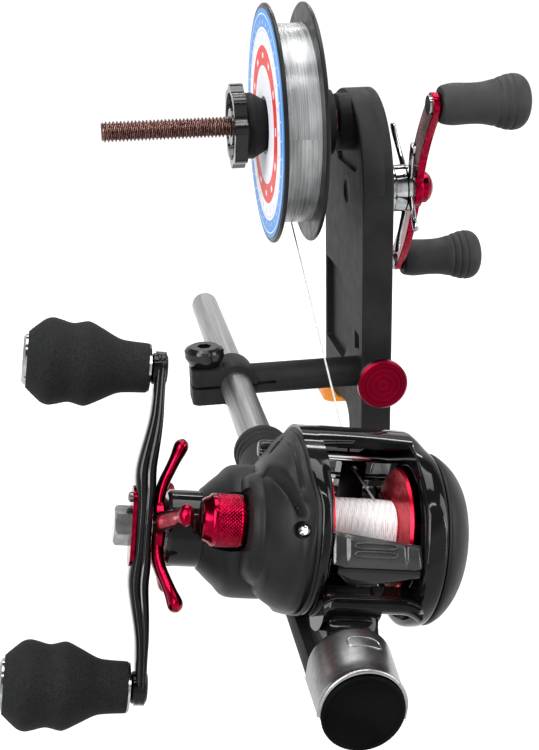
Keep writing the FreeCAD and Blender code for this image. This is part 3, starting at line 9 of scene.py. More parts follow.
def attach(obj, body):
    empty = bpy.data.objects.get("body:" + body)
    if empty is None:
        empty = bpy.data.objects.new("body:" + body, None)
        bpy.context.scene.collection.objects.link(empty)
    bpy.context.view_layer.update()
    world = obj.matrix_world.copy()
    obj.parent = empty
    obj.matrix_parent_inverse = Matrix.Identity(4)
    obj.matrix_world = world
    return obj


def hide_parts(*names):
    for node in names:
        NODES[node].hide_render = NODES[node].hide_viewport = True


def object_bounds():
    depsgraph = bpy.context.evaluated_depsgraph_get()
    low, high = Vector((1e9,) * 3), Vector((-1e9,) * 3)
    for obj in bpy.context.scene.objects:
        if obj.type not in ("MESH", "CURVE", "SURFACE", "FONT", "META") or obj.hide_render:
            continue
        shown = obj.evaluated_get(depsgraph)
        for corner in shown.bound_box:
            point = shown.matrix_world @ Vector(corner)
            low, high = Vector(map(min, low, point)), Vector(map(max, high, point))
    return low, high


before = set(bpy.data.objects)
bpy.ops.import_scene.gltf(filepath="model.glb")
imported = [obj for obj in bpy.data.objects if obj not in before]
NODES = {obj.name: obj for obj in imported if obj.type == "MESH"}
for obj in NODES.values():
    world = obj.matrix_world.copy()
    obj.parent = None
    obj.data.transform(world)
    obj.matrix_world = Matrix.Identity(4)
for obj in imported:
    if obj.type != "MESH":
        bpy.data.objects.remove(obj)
CAD_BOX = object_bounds()
MM = 0.001
TURN = 2 * math.pi


# ------------------------------------------------------------------ places, as in the frame
def along(*offset):
    """A move by an offset in millimetres."""
    return Matrix.Translation(Vector(offset) * MM)


def turned(degrees, axis):
    return Matrix.Rotation(math.radians(degrees), 4, axis)


CRANK = Vector((0.0, -0.029, 0.097))
SHAFT = Vector((0.0, -0.029, 0.1242))
BAR = Vector((-0.056, 0.0, 0.0285))
SEAT = Matrix.Translation(BAR) @ turned(8.8, "Y")
REEL = SEAT @ Matrix.Translation((0.0, -0.2286, 0.0255))
DRIVE_REACH, DRIVE_ANGLE = 16.0, math.radians(-35.2)
DRIVE = REEL @ along(0.0, DRIVE_REACH * math.cos(DRIVE_ANGLE), DRIVE_REACH * math.sin(DRIVE_ANGLE))
HANDLE = DRIVE @ turned(-23.8, "X")
HANDLE_ARM = 41.0
WINDER_CRANK = Matrix.Translation(CRANK) @ turned(34.6, "X")
WINDER_ARM = 43.5


# ------------------------------------------------------------------ small sums
def clamp(value):
    return min(1.0, max(0.0, value))


def ease(t):
    """0 to 1 with level ends."""
    return t * t * (3 - 2 * t)


def bell(offset, width):
    return math.exp(-(offset / width) ** 2)


def angles(count):
    return [TURN * i / count for i in range(count)]


# ------------------------------------------------------------------ materials
def add_node(tree, kind, inputs=None, **props):
    """A shader node; each input is linked to a socket or set to a value."""
    n = tree.nodes.new(kind)
    for key, value in props.items():
        setattr(n, key, value)
    for key, value in (inputs or {}).items():
        fill(tree, n.inputs[key], value)
    return n


def fill(tree, socket, value):
    if isinstance(value, bpy.types.NodeSocket):
        tree.links.new(value, socket)
    else:
        socket.default_value = value


def rgba(colour):
    return colour if isinstance(colour, bpy.types.NodeSocket) else (*colour, 1.0)


class Surface:
    """A Principled material with object-space texture nodes."""

    def __init__(self, name, rough=0.5, metallic=0.0, specular=0.5):
        self.material = bpy.data.materials.new(name)
        self.material.use_nodes = True
        self.tree = self.material.node_tree
        self.shader = next(n for n in self.tree.nodes if n.type == "BSDF_PRINCIPLED")
        self.set("Roughness", rough)
        self.set("Metallic", metallic)
        self.set("Specular IOR Level", specular)
        self.height = None
        self.place = self.node("ShaderNodeTexCoord").outputs["Object"]

    def set(self, socket, value):
        fill(self.tree, self.shader.inputs[socket], value)

    def node(self, kind, inputs=None, **props):
        return add_node(self.tree, kind, inputs, **props)

    def math(self, operation, a, b=0.0):
        return self.node("ShaderNodeMath", {0: a, 1: b}, operation=operation).outputs[0]

    def add(self, a, b):
        return self.math("ADD", a, b)

    def times(self, a, b):
        return self.math("MULTIPLY", a, b)

    def distance(self, a, b):
        return self.math("SQRT", self.add(self.times(a, a), self.times(b, b)))

    def axes(self, centre=None):
        """Object coordinates, measured from a centre if one is given."""
        place = self.place
        if centre:
            place = self.node("ShaderNodeMapping", {"Vector": place, "Location": centre},
                              vector_type="TEXTURE").outputs[0]
        return self.node("ShaderNodeSeparateXYZ", {0: place}).outputs

    def noise(self, scale, detail=2.0, stretch=None):
        vector = self.place
        if stretch:
            vector = self.node("ShaderNodeMapping", {"Vector": vector, "Scale": stretch}).outputs[0]
        return self.node("ShaderNodeTexNoise", {"Vector": vector, "Scale": scale, "Detail": detail}).outputs["Fac"]

    def noise_over(self, detail, x, y=0.0):
        """Noise over a pair of coordinates of the caller's own."""
        vector = self.node("ShaderNodeCombineXYZ", {0: x, 1: y}).outputs[0]
        return self.node("ShaderNodeTexNoise", {"Vector": vector, "Scale": 1.0, "Detail": detail}).outputs["Fac"]

    def span(self, value, low, high, new_low=0.0, new_high=1.0):
        return self.node("ShaderNodeMapRange", {0: value, 1: low, 2: high, 3: new_low, 4: new_high}).outputs[0]

    def blend(self, factor, a, b):
        return self.node("ShaderNodeMix", {0: factor, 6: rgba(a), 7: rgba(b)}, data_type="RGBA").outputs[2]

    def colour(self, socket):
        self.set("Base Color", socket)

    def roughness(self, socket):
        self.set("Roughness", socket)

    def bump(self, height, distance, strength=1.0):
        inputs = {"Height": height, "Distance": distance, "Strength": strength}
        if self.height:
            inputs["Normal"] = self.height
        self.height = self.node("ShaderNodeBump", inputs).outputs[0]
        self.set("Normal", self.height)


def moulded(name, dark, light, rough=(0.42, 0.56), grain=2600, depth=0.00004, specular=0.45, metallic=0.0,
            mottle=70, scuff=0.0):
    """Moulded or painted surface: mottled colour, uneven gloss, fine grain in the normal."""
    s = Surface(name, metallic=metallic, specular=specular)
    tone = s.blend(s.span(s.noise(mottle, 3), 0.35, 0.65), dark, light)
    if scuff:
        lines = s.noise(420, 3, stretch=(1, 0.12, 0.6))
        tone = s.blend(s.span(lines, 0.62, 0.72, 0.0, scuff), tone, tuple(c * 2.2 + 0.03 for c in light))
    s.colour(tone)
    s.roughness(s.span(s.noise(mottle * 2.5, 2), 0.3, 0.7, *rough))
    s.bump(s.noise(grain, 2), depth)
    return s


def metal(name, dark, light, rough=(0.2, 0.32), stretch=(1, 1, 1), scale=900, depth=0.00001, metallic=1.0):
    """Turned, brushed or plated metal: streaks along the stretch, in colour, gloss and normal."""
    s = Surface(name, metallic=metallic)
    streak = s.noise(scale, 3, stretch=stretch)
    s.colour(s.blend(s.span(streak, 0.35, 0.65), dark, light))
    s.roughness(s.span(s.noise(scale * 0.6, 2, stretch=stretch), 0.3, 0.7, *rough))
    s.bump(streak, depth)
    return s


matte_black = moulded("matte_black", (0.0070, 0.0072, 0.0074), (0.0120, 0.0123, 0.0126), rough=(0.50, 0.57),
                      grain=2400, depth=0.00007, specular=0.10, scuff=0.03)
dark_plate = moulded("dark_plate", (0.0060, 0.0062, 0.0064), (0.0100, 0.0103, 0.0106), rough=(0.36, 0.46),
                     grain=3400, depth=0.00005, specular=0.10)
gloss_black = moulded("gloss_black", (0.003, 0.003, 0.0033), (0.007, 0.007, 0.0075), rough=(0.10, 0.17),
                      grain=500, depth=0.000006, specular=0.3)
gloss_metal = moulded("gloss_metal", (0.002, 0.0021, 0.0023), (0.005, 0.005, 0.0055), rough=(0.05, 0.09),
                      grain=420, depth=0.000004, specular=0.16)
orange_rubber = moulded("orange_rubber", (0.86, 0.26, 0.012), (0.95, 0.36, 0.03), rough=(0.38, 0.5), grain=1500)
soft_knob = moulded("soft_knob", (0.012, 0.0125, 0.013), (0.020, 0.0205, 0.021), rough=(0.55, 0.68), grain=2200,
                    depth=0.00006, specular=0.22, scuff=0.05)
thumb_grey = moulded("thumb_grey", (0.012, 0.012, 0.0125), (0.024, 0.024, 0.025), rough=(0.2, 0.3), grain=1500,
                     depth=0.00002, specular=0.4)
spool_black = moulded("spool_black", (0.005, 0.005, 0.0055), (0.010, 0.010, 0.0105), rough=(0.28, 0.40),
                      grain=600, depth=0.00001, specular=0.14)
felt = moulded("felt", (0.20, 0.18, 0.15), (0.34, 0.31, 0.27), rough=(0.9, 0.98), grain=3000, depth=0.0001)
foam = moulded("foam", (0.0020, 0.0021, 0.0022), (0.0125, 0.013, 0.0135), rough=(0.72, 0.86), grain=4200,
               depth=0.00020, specular=0.12, mottle=3000)
rubber_black = moulded("rubber_black", (0.0015, 0.0016, 0.0017), (0.0036, 0.0037, 0.0038), rough=(0.5, 0.62),
                       grain=2000, depth=0.00008, specular=0.02)
cap_dark = moulded("cap_dark", (0.10, 0.10, 0.105), (0.16, 0.16, 0.165), rough=(0.3, 0.4), grain=900)
hood_silver = moulded("hood_silver", (0.22, 0.22, 0.222), (0.27, 0.27, 0.272), rough=(0.28, 0.33), grain=2600,
                      depth=0.000004, metallic=1.0, specular=0.5, mottle=700)
chrome = metal("chrome", (0.24, 0.245, 0.25), (0.42, 0.425, 0.43), rough=(0.06, 0.13), scale=300, depth=0.000003)
# lighter copy of chrome: its near-white colour is a painted highlight on the guide bars
chrome_painted_highlight = metal("chrome_painted_highlight", (0.74, 0.74, 0.745), (0.86, 0.86, 0.865), rough=(0.04, 0.08), scale=300,
                      depth=0.000002)
# darker copy of chrome: its low colour is a painted dark reflection, the shade a chrome nut would pick up from dark
# surroundings
chrome_painted_dark_reflection = metal("chrome_painted_dark_reflection", (0.17, 0.171, 0.173), (0.30, 0.301, 0.303), rough=(0.07, 0.14), scale=300,
                   depth=0.000003)
steel = metal("steel", (0.34, 0.34, 0.34), (0.56, 0.56, 0.55), rough=(0.22, 0.36), scale=1400)
thread_steel = metal("thread_steel", (0.07, 0.034, 0.030), (0.21, 0.12, 0.105), rough=(0.2, 0.34), scale=700,
                     depth=0.000004)
brass = metal("brass", (0.52, 0.36, 0.13), (0.72, 0.52, 0.22), rough=(0.2, 0.34), scale=1200)
bronze = metal("bronze", (0.36, 0.19, 0.09), (0.56, 0.32, 0.16), rough=(0.26, 0.4), scale=1200)
red_anodised = metal("red_anodised", (0.14, 0.0010, 0.010), (0.27, 0.0025, 0.022), rough=(0.14, 0.24),
                     scale=600, depth=0.000005)
spool_red = metal("spool_red", (0.40, 0.0014, 0.014), (0.54, 0.0030, 0.024), rough=(0.22, 0.30), scale=600,
                  depth=0.000002, metallic=0.88)
tube_metal = metal("tube_metal", (0.26, 0.26, 0.262), (0.40, 0.40, 0.402), rough=(0.34, 0.44), scale=1500,
                   stretch=(1, 0.02, 1), depth=0.00001)
strand = Surface("strand", rough=0.3, specular=0.2)
strand.colour(strand.blend(strand.noise(500, 2), (0.28, 0.285, 0.29), (0.46, 0.465, 0.47)))


def turned_red():
    """Anodised disc with turning rings about the lock screw's axis."""
    s = Surface("turned_red", rough=0.2, metallic=1.0)
    s.set("Tangent", s.node("ShaderNodeTangent", direction_type="RADIAL", axis="Y").outputs[0])
    s.set("Anisotropic", 0.85)
    x, _, z = s.axes((0.0, 0.0, BAR.z))
    r = s.distance(x, z)
    s.bump(s.math("SINE", s.times(r, TURN / 0.00055)), 0.0000025)
    bands = s.noise_over(3, s.times(r, 900.0))
    s.colour(s.blend(s.span(bands, 0.3, 0.7), (0.060, 0.0005, 0.005), (0.16, 0.0018, 0.013)))
    s.roughness(s.span(bands, 0.3, 0.7, 0.22, 0.34))
    return s


def wound_mono():
    """Clear line wound in even turns, with broad and narrow bands of light."""
    s = Surface("wound_mono", rough=0.25, specular=0.3, metallic=0.3)
    x, y, z = s.axes(tuple(SHAFT))
    angle = s.math("ARCTAN2", z, y)
    turns = s.math("SINE", s.add(s.times(x, TURN / 0.00042), angle))
    streaks = s.noise_over(3, s.times(x, 1400.0), s.times(angle, 0.7))
    broad = s.noise_over(2, s.times(x, 160.0), s.times(angle, 2.2))
    tone = s.add(s.times(streaks, 0.5), s.times(broad, 0.6))
    s.colour(s.blend(s.span(tone, 0.35, 0.78), (0.12, 0.125, 0.13), (0.50, 0.505, 0.51)))
    s.roughness(s.span(streaks, 0.3, 0.7, 0.2, 0.34))
    s.bump(turns, 0.00002, 0.5)
    return s


def wound_braid():
    """Braided line: crossing lays with fibre grain."""
    s = Surface("braid", rough=0.75, specular=0.3)
    x, y, z = s.axes()
    angle = s.math("ARCTAN2", z, y)
    lay = s.math("SINE", s.add(s.times(x, 21000.0), s.times(angle, 3.0)))
    cross = s.math("SINE", s.math("SUBTRACT", s.times(x, 17000.0), s.times(angle, 5.0)))
    weave = s.math("MAXIMUM", lay, cross)
    shade = s.add(s.times(weave, 0.35), s.times(s.noise(3800, 3), 0.9))
    s.colour(s.blend(s.span(shade, 0.1, 0.85), (0.40, 0.405, 0.41), (0.82, 0.825, 0.83)))
    s.bump(shade, 0.00009)
    return s


def printed_label():
    """Generic target of rings, with ticks and dots of its own layout."""
    s = Surface("printed_label", rough=0.34, specular=0.035)
    x, y, z = s.axes(tuple(SHAFT))
    r = s.times(s.distance(y, z), 1000.0)
    angle = s.math("ARCTAN2", z, y)

    def ring(inner, outer):
        return s.times(s.math("GREATER_THAN", r, inner), s.math("LESS_THAN", r, outer))

    def marks(inner, outer, count, share, phase=0.0):
        wave = s.math("COSINE", s.add(s.times(angle, float(count)), phase))
        return s.times(ring(inner, outer), s.math("GREATER_THAN", wave, math.cos(math.pi * share)))

    paper = s.noise(900, 2)
    colour = s.blend(s.span(paper, 0.3, 0.7), (0.80, 0.80, 0.88), (0.86, 0.86, 0.92))
    for mask, ink in ((ring(36.6, 50.0), (0.10, 0.30, 0.68)), (ring(22.5, 29.9), (0.72, 0.06, 0.05)),
                      (ring(41.2, 41.6), (0.85, 0.88, 0.95)), (marks(37.6, 39.0, 36, 0.10), (0.85, 0.88, 0.95)),
                      (marks(32.2, 34.0, 24, 0.16, 1.2), (0.50, 0.54, 0.70)), (ring(35.2, 35.5), (0.35, 0.45, 0.72)),
                      (marks(25.2, 27.2, 12, 0.22, 0.6), (0.90, 0.86, 0.88))):
        colour = s.blend(mask, colour, ink)
    s.colour(colour)
    s.bump(paper, 0.00001)
    return s


def paint(obj, surface):
    obj.data.materials.clear()
    obj.data.materials.append(surface.material)


# the nodes that show; the others are replaced below
FINISH = (
    (matte_black, "column_body column_cover inner_cone outer_cone cross_arm seat_barrel seat_collar"),
    (gloss_black, "clamp_screw hand_nut bar_clamp_screw line_guide"),
    (gloss_metal, "gear_neck grip_spindles"),
    (chrome, "drag_hub crank_knob_pins grip_cap_upper grip_cap_lower"),
    (chrome_painted_dark_reflection, "plate_screws handle_nut"),
    (chrome_painted_highlight, "guide_bars"),
    (steel, "cover_screws shaft_bearing shaft_pinion crank_shaft levelwind_worm drive_shaft"),
    (brass, "crank_gear drive_gear pinion_gear"),
    (bronze, "bronze_bushes"),
    (felt, "drag_washers"),
    (red_anodised, "winder_crank crank_cap handle_retainer"),
    (turned_red(), "arm_lock_screw"),
    (spool_red, "reel_spool"),
    (tube_metal, "reel_bar"),
    (orange_rubber, "table_pad"),
    (soft_knob, "clamp_swivel_pad"),
    (spool_black, "supply_spool"),
    (wound_mono(), "supply_line"),
    (printed_label(), "supply_label"),
)
for surface, names in FINISH:
    for name in names.split():
        paint(NODES[name], surface)


def soften(name, width):
    """Rounds the sharp edges of a frame node as it shows, with modifiers."""
    node = NODES[name]
    node.modifiers.new("weld", "WELD").merge_threshold = 0.000002
    bevel = node.modifiers.new("bevel", "BEVEL")
    bevel.width = width
    bevel.segments = 2
    bevel.limit_method = "ANGLE"
    bevel.angle_limit = math.radians(32)
    bevel.use_clamp_overlap = True
    bevel.harden_normals = True


def add_object(name, data):
    obj = bpy.data.objects.new(name, data)
    bpy.context.scene.collection.objects.link(obj)
    return obj


# ------------------------------------------------------------------ camera
FOCAL_PX, PHOTO_HEIGHT_PX, SENSOR_MM = 1232.3, 750.0, 36.0
CAMERA_PLACE = (-0.11185, -0.50284, 0.19823)
CAMERA_YAW, CAMERA_PITCH, CAMERA_ROLL = 8.81, 20.24, 1.12


def make_camera():
    yaw, pitch, roll = (math.radians(a) for a in (CAMERA_YAW, CAMERA_PITCH, CAMERA_ROLL))
    ahead = Vector((math.sin(yaw) * math.cos(pitch), math.cos(yaw) * math.cos(pitch), -math.sin(pitch)))
    level = Vector((math.cos(yaw), -math.sin(yaw), 0.0))
    upright = level.cross(ahead)
    right = math.cos(roll) * level - math.sin(roll) * upright
    up = math.sin(roll) * level + math.cos(roll) * upright
    data = bpy.data.cameras.new("camera")
    data.sensor_width = SENSOR_MM
    data.lens = FOCAL_PX * SENSOR_MM / PHOTO_HEIGHT_PX
    data.clip_start = 0.01
    camera = add_object("camera", data)
    camera.matrix_world = Matrix.Translation(CAMERA_PLACE) @ Matrix((right, up, -ahead)).transposed().to_4x4()
    bpy.context.scene.camera = camera


# ------------------------------------------------------------------ floor and light
WHITE = (1, 1, 1, 1)


def white_for_sight(tree, shader_out, white_out, target):
    """Lights the scene with shader_out, and shows white_out to the eye and in reflections."""
    path = add_node(tree, "ShaderNodeLightPath").outputs
    seen = path["Is Camera Ray"]
    for output in ("Is Glossy Ray", "Is Transmission Ray"):
        seen = add_node(tree, "ShaderNodeMath", {0: seen, 1: path[output]}, operation="MAXIMUM").outputs[0]
    mix = add_node(tree, "ShaderNodeMixShader", {0: seen, 1: shader_out, 2: white_out})
    tree.links.new(mix.outputs[0], target)


def lamp(name, place, width, height, power):
    data = bpy.data.lights.new(name, "AREA")
    data.shape = "RECTANGLE"
    data.size, data.size_y, data.energy = width, height, power
    obj = add_object(name, data)
    obj.location = place
    aim = Vector((-0.03, -0.15, 0.06)) - Vector(place)
    obj.rotation_euler = aim.to_track_quat("-Z", "Y").to_euler()


def make_stage():
    # a pale studio: white round the sides, a darker ceiling
    world = bpy.data.worlds.new("studio")
    world.use_nodes = True
    bpy.context.scene.world = world
    tree = world.node_tree
    room = tree.nodes["Background"]
    room.inputs["Color"].default_value = WHITE
    room.inputs["Strength"].default_value = 0.16
    coords = add_node(tree, "ShaderNodeTexCoord")
    split = add_node(tree, "ShaderNodeSeparateXYZ", {0: coords.outputs["Generated"]})
    ceiling = add_node(tree, "ShaderNodeMapRange", {0: split.outputs[2], 1: 0.44, 2: 0.62, 3: 1.0, 4: 0.10})
    white = add_node(tree, "ShaderNodeBackground", {"Color": WHITE, "Strength": ceiling.outputs[0]})
    white_for_sight(tree, room.outputs[0], white.outputs[0], tree.nodes["World Output"].inputs["Surface"])

    low, far = CAD_BOX[0][2] - 0.0005, 6
    mesh = bpy.data.meshes.new("floor")
    mesh.from_pydata([(-far, -far, low), (far, -far, low), (far, far, low), (-far, far, low)], [], [(0, 1, 2, 3)])
    floor = add_object("floor", mesh)
    pale = moulded("floor_pale", (0.34, 0.34, 0.34), (0.36, 0.36, 0.36), rough=(0.8, 0.9), grain=40, depth=0.00001,
                   specular=0.0)
    paint(floor, pale)
    # seen, the lit floor is filled up to white, and keeps the shadow near the object
    x, y, z = pale.axes()
    away = pale.distance(pale.math("SUBTRACT", x, -0.04), pale.math("SUBTRACT", y, -0.1))
    glow = pale.node("ShaderNodeEmission", {"Color": WHITE, "Strength": pale.span(away, 0.25, 0.9, 0.62, 1.0)})
    both = pale.node("ShaderNodeAddShader", {0: pale.shader.outputs[0], 1: glow.outputs[0]})
    output = next(n for n in pale.tree.nodes if n.type == "OUTPUT_MATERIAL")
    white_for_sight(pale.tree, pale.shader.outputs[0], both.outputs[0], output.inputs["Surface"])

    for settings in (
            ("key_left", (-0.75, -0.75, 0.75), 0.6, 0.8, 16), ("fill_right", (0.85, -0.45, 0.55), 0.35, 0.9, 8),
            ("top", (0.0, 0.1, 1.1), 0.9, 0.6, 13), ("strip_left", (-0.55, -0.75, 0.35), 0.035, 0.7, 2.4),
            ("strip_top", (-0.05, -0.55, 0.95), 0.8, 0.04, 2.8),
            ("strip_right", (0.7, -0.65, 0.25), 0.035, 0.7, 2.4), ("strip_far", (0.1, 0.75, 0.75), 0.9, 0.05, 2.6)):
        lamp(*settings)


# ------------------------------------------------------------------ piece makers, millimetres in local axes
def add_piece(name, data, surface, matrix, body):
    obj = add_object(name, data)
    obj.matrix_world = matrix
    paint(obj, surface)
    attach(obj, body)
    return obj


def stands_for(node):
    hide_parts(node)


def mesh_piece(name, verts, faces, surface, matrix, body, sharp):
    mesh = bpy.data.meshes.new(name)
    mesh.from_pydata([tuple(c * MM for c in v) for v in verts], [], faces)
    work = bmesh.new()
    work.from_mesh(mesh)
    bmesh.ops.remove_doubles(work, verts=work.verts, dist=1e-7)
    bmesh.ops.recalc_face_normals(work, faces=work.faces)
    work.to_mesh(mesh)
    work.free()
    for face in mesh.polygons:
        face.use_smooth = True
    mesh.set_sharp_from_angle(angle=math.radians(sharp))
    return add_piece(name, mesh, surface, matrix, body)


def curved(points, steps=6):
    """Catmull-Rom through points of any dimension."""
    out = []
    for i in range(len(points) - 1):
        p0, p1 = points[max(i - 1, 0)], points[i]
        p2, p3 = points[i + 1], points[min(i + 2, len(points) - 1)]
        for t in (k / steps for k in range(steps)):
            out.append(tuple(0.5 * (2 * b + (c - a) * t + (2 * a - 5 * b + 4 * c - d) * t * t
                                    + (3 * b - a - 3 * c + d) * t ** 3)
                             for a, b, c, d in zip(p0, p1, p2, p3)))
    return out + [points[-1]]


def curved_values(*values):
    return [v for v, in curved([(v,) for v in values], 4)]


def divided(points, step):
    out = []
    for (xa, ra), (xb, rb) in zip(points, points[1:]):
        n = max(1, round(math.hypot(xb - xa, rb - ra) / step))
        out += [(xa + (xb - xa) * k / n, ra + (rb - ra) * k / n) for k in range(n)]
    return out + [points[-1]]


def lathe(name, profile, surface, matrix, body, steps=96, relief=None, sharp=40):
    """Turned piece about local X; relief(x, r, angle) is added to the radius."""
    verts, faces, rings = [], [], []
    for x, r in profile:
        start = len(verts)
        if r < 1e-6:
            verts.append((x, 0.0, 0.0))
            rings.append([start] * steps)
            continue
        for angle in angles(steps):
            rr = r + (relief(x, r, angle) if relief else 0.0)
            verts.append((x, rr * math.cos(angle), rr * math.sin(angle)))
        rings.append(list(range(start, start + steps)))
    for a, b in zip(rings, rings[1:]):
        for i in range(steps):
            j = (i + 1) % steps
            face = list(dict.fromkeys((a[i], a[j], b[j], b[i])))
            if len(face) > 2:
                faces.append(face)
    return mesh_piece(name, verts, faces, surface, matrix, body, sharp)


def reach(circle_a, circle_b, centre, angle):
    """Distance from centre to a belt round two circles, (y, z, radius) each, towards angle."""
    best, stops = 0.0, 24
    dy, dz = math.cos(angle), math.sin(angle)
    for k in range(stops + 1):
        y, z, r = (a + (b - a) * k / stops for a, b in zip(circle_a, circle_b))
        y, z = y - centre[0], z - centre[1]
        ahead = y * dy + z * dz
        square = r * r - y * y - z * z + ahead * ahead
        if square > 0:
            best = max(best, ahead + math.sqrt(square))
    return best


def belt_row(section, relief=None, steps=160):
    """Points of one outline: section is (x, ya, za, ra, yb, zb, rb)."""
    x, a, b = section[0], section[1:4], section[4:7]
    centre = ((a[0] + b[0]) / 2, (a[1] + b[1]) / 2)
    row = []
    for angle in angles(steps):
        r = reach(a, b, centre, angle)
        if relief:
            r += relief(x, angle, r, centre)
        row.append((x, centre[0] + r * math.cos(angle), centre[1] + r * math.sin(angle)))
    return row


def skin(name, rows, surface, matrix, body, closed=False, sharp=40):
    """Skin over closed rows of points with the same count; closed joins the last row to the first."""
    count = len(rows[0])
    verts = [p for row in rows for p in row]
    faces = []
    for k in range(len(rows) - 1 + closed):
        a, b = k * count, ((k + 1) % len(rows)) * count
        faces += [[a + i, a + (i + 1) % count, b + (i + 1) % count, b + i] for i in range(count)]
    if not closed:
        faces += [list(range(count)), list(range(len(verts) - count, len(verts)))]
    return mesh_piece(name, verts, faces, surface, matrix, body, sharp)


def carve(piece, cutters, operation="DIFFERENCE"):
    """Cuts (or joins) other meshes in place, then drops them."""
    for cutter in cutters:
        cut = piece.modifiers.new("cut", "BOOLEAN")
        cut.operation = operation
        cut.object = cutter
        cut.solver = "EXACT"
    bpy.context.view_layer.update()
    shape = piece.evaluated_get(bpy.context.evaluated_depsgraph_get())
    mesh = bpy.data.meshes.new_from_object(shape)
    piece.modifiers.clear()
    piece.data = mesh
    for cutter in cutters:
        bpy.data.objects.remove(cutter, do_unlink=True)
    mesh.set_sharp_from_angle(angle=math.radians(35))


def tube(name, points, radius, surface, matrix, body, closed=False):
    """Thin raised bead, or the line, along a smooth curve."""
    data = bpy.data.curves.new(name, "CURVE")
    data.dimensions = "3D"
    data.bevel_depth = radius * MM
    data.bevel_resolution = 3
    data.resolution_u = 6
    spline = data.splines.new("NURBS")
    spline.points.add(len(points) - 1)
    for target, p in zip(spline.points, points):
        target.co = (*(c * MM for c in p), 1.0)
    spline.use_cyclic_u = closed
    spline.order_u = 3
    spline.use_endpoint_u = not closed
    data.use_fill_caps = True
    return add_piece(name, data, surface, matrix, body)


# ------------------------------------------------------------------ spool shaft with its thread
def make_spool_shaft():
    pitch, depth, radius, journal = 1.411, 0.82, 3.97, 3.0
    end, collar = -100.3, -13.0

    def thread(x, r, angle):
        if x > collar + 0.1 or r < journal:
            return 0.0
        t = clamp((abs(2 * ((x / pitch - angle / TURN) % 1.0) - 1) - 0.14) / 0.72)
        return min(r, radius - depth * ease(t)) - r

    n = int((collar - end) / 0.12)
    profile = [(end - 0.8, 0), (end - 0.8, radius - 0.8)]
    profile += [(end + (collar - end) * k / n, radius) for k in range(n + 1)]
    profile += [(-12.5, radius), (-12.5, 7.0), (-11.0, 7.0), (-11.0, radius), (1.5, radius), (1.5, journal),
                (4.9, journal), (4.9, 0)]
    piece = lathe("threaded_spool_shaft", profile, thread_steel, Matrix.Translation(SHAFT), "shaft", steps=40,
                  relief=thread, sharp=60)
    stands_for("spool_shaft")


# ------------------------------------------------------------------ knobs and grips
def make_winder_knobs():
    length = 34.3
    outline = curved([(0, 6.6), (1.2, 7.2), (5, 7.8), (11, 7.6), (16, 7.8), (20.5, 8.7), (24.5, 10.0),
                      (27.4, 10.5), (30.6, 10.0), (32.9, 8.0), (34.1, 4.4), (length, 0)], 8)
    outline = divided([p for p in outline if p[0] <= length and p[1] >= 0], 0.28)

    def grooves(x, r, angle):
        return -0.42 * sum(bell(x - g, 0.42) for g in (21.2, 23.9, 26.6)) if r > 5 else 0.0

    inner = [(20.05, 0), (20.05, 2.55), (0, 2.55)]
    for name, side in (("crank_knob_upper", 1), ("crank_knob_lower", -1)):
        place = WINDER_CRANK @ along(23.8, 0, side * WINDER_ARM)
        piece = lathe(name + "_soft", inner + outline, soft_knob, place, name[6:], steps=72, relief=grooves)
        stands_for(name)


def make_grips():
    root = -49.3
    foot = root - 31.4
    outline = curved([(root - d, r) for d, r in (
        (0, 6.2), (1.0, 6.5), (5.0, 6.7), (8.2, 7.2), (12.4, 9.3), (15.4, 10.75), (17.0, 10.95), (20.3, 10.25),
        (23.4, 10.95), (25.4, 11.3), (27.2, 10.8), (29.0, 9.4), (31.0, 7.6), (31.4, 7.2))], 6)
    inner = [(foot, 6.62), (root - 30.0, 6.62), (root - 30.0, 2.05), (root, 2.05), (root, 6.0)]
    ring = [(root + 0.05, 2.3), (root + 0.05, 6.3), (root - 0.5, 6.5), (root - 0.5, 2.3), (root + 0.05, 2.3)]
    disc = foot - 0.5
    plate = [(disc, 0), (disc - 0.15, 0.8), (disc - 0.15, 4.1), (disc + 0.1, 4.2), (disc + 0.1, 0)]
    for side, name, body in ((1, "grip_upper", "grip_up"), (-1, "grip_lower", "grip_low")):
        place = HANDLE @ along(0, 0, side * HANDLE_ARM)
        piece = lathe(name + "_foam", divided(outline, 0.4) + inner, foam, place, body)
        stands_for(name)
        lathe(name + "_ring", ring, chrome, place, body, steps=64)
        # spoked disc inside the chrome cap
        lathe(name + "_disc", plate, cap_dark, place, body, steps=60)
        for k, angle in enumerate(angles(5)):
            spoke = [(x, r * math.cos(angle), r * math.sin(angle))
                     for x, r in ((disc - 0.15, 0.9), (disc - 0.2, 2.4), (disc - 0.15, 4.2))]
            tube("%s_spoke_%d" % (name, k), spoke, 0.34, chrome, place, body)


# ------------------------------------------------------------------ cast control cap with its diamond knurl
def make_cast_cap():
    x0, end, radius = -35.6, -25.0, 6.7
    rim, last = x0 + 3.4, end - 1.1

    def knurl(x, r, angle):
        if r < 5.6 or x < rim or x > last:
            return 0.0
        fade = min(1.0, (x - rim) / 0.25, (last - x) / 0.25)
        u = 24 * angle + (x - x0) * 3.5
        v = 24 * angle - (x - x0) * 3.5
        return -0.2 * fade * (1 - min(abs(math.sin(u)), abs(math.sin(v))) ** 0.8)

    profile = [(x0 + d, r) for d, r in (
        (0.7, 0), (0.7, 3.4), (0.35, 4.0), (0, 4.4), (0.05, 4.9), (0.5, 5.3), (1.8, 5.9), (2.2, 6.35),
        (2.7, radius - 0.08), (3.2, radius))]
    profile += [(rim + (last - rim) * k / 72, radius) for k in range(73)]
    profile += [(end - 0.9, radius - 0.25), (end - 0.7, radius), (end - 0.2, radius - 0.1), (end, radius - 0.6),
                (end, 5.35), (x0 + 2.4, 5.35), (x0 + 2.4, 0)]
    piece = lathe("cast_cap_knurled", profile, red_anodised, REEL, "cast_cap", steps=384, relief=knurl, sharp=50)
    stands_for("cast_control_cap")


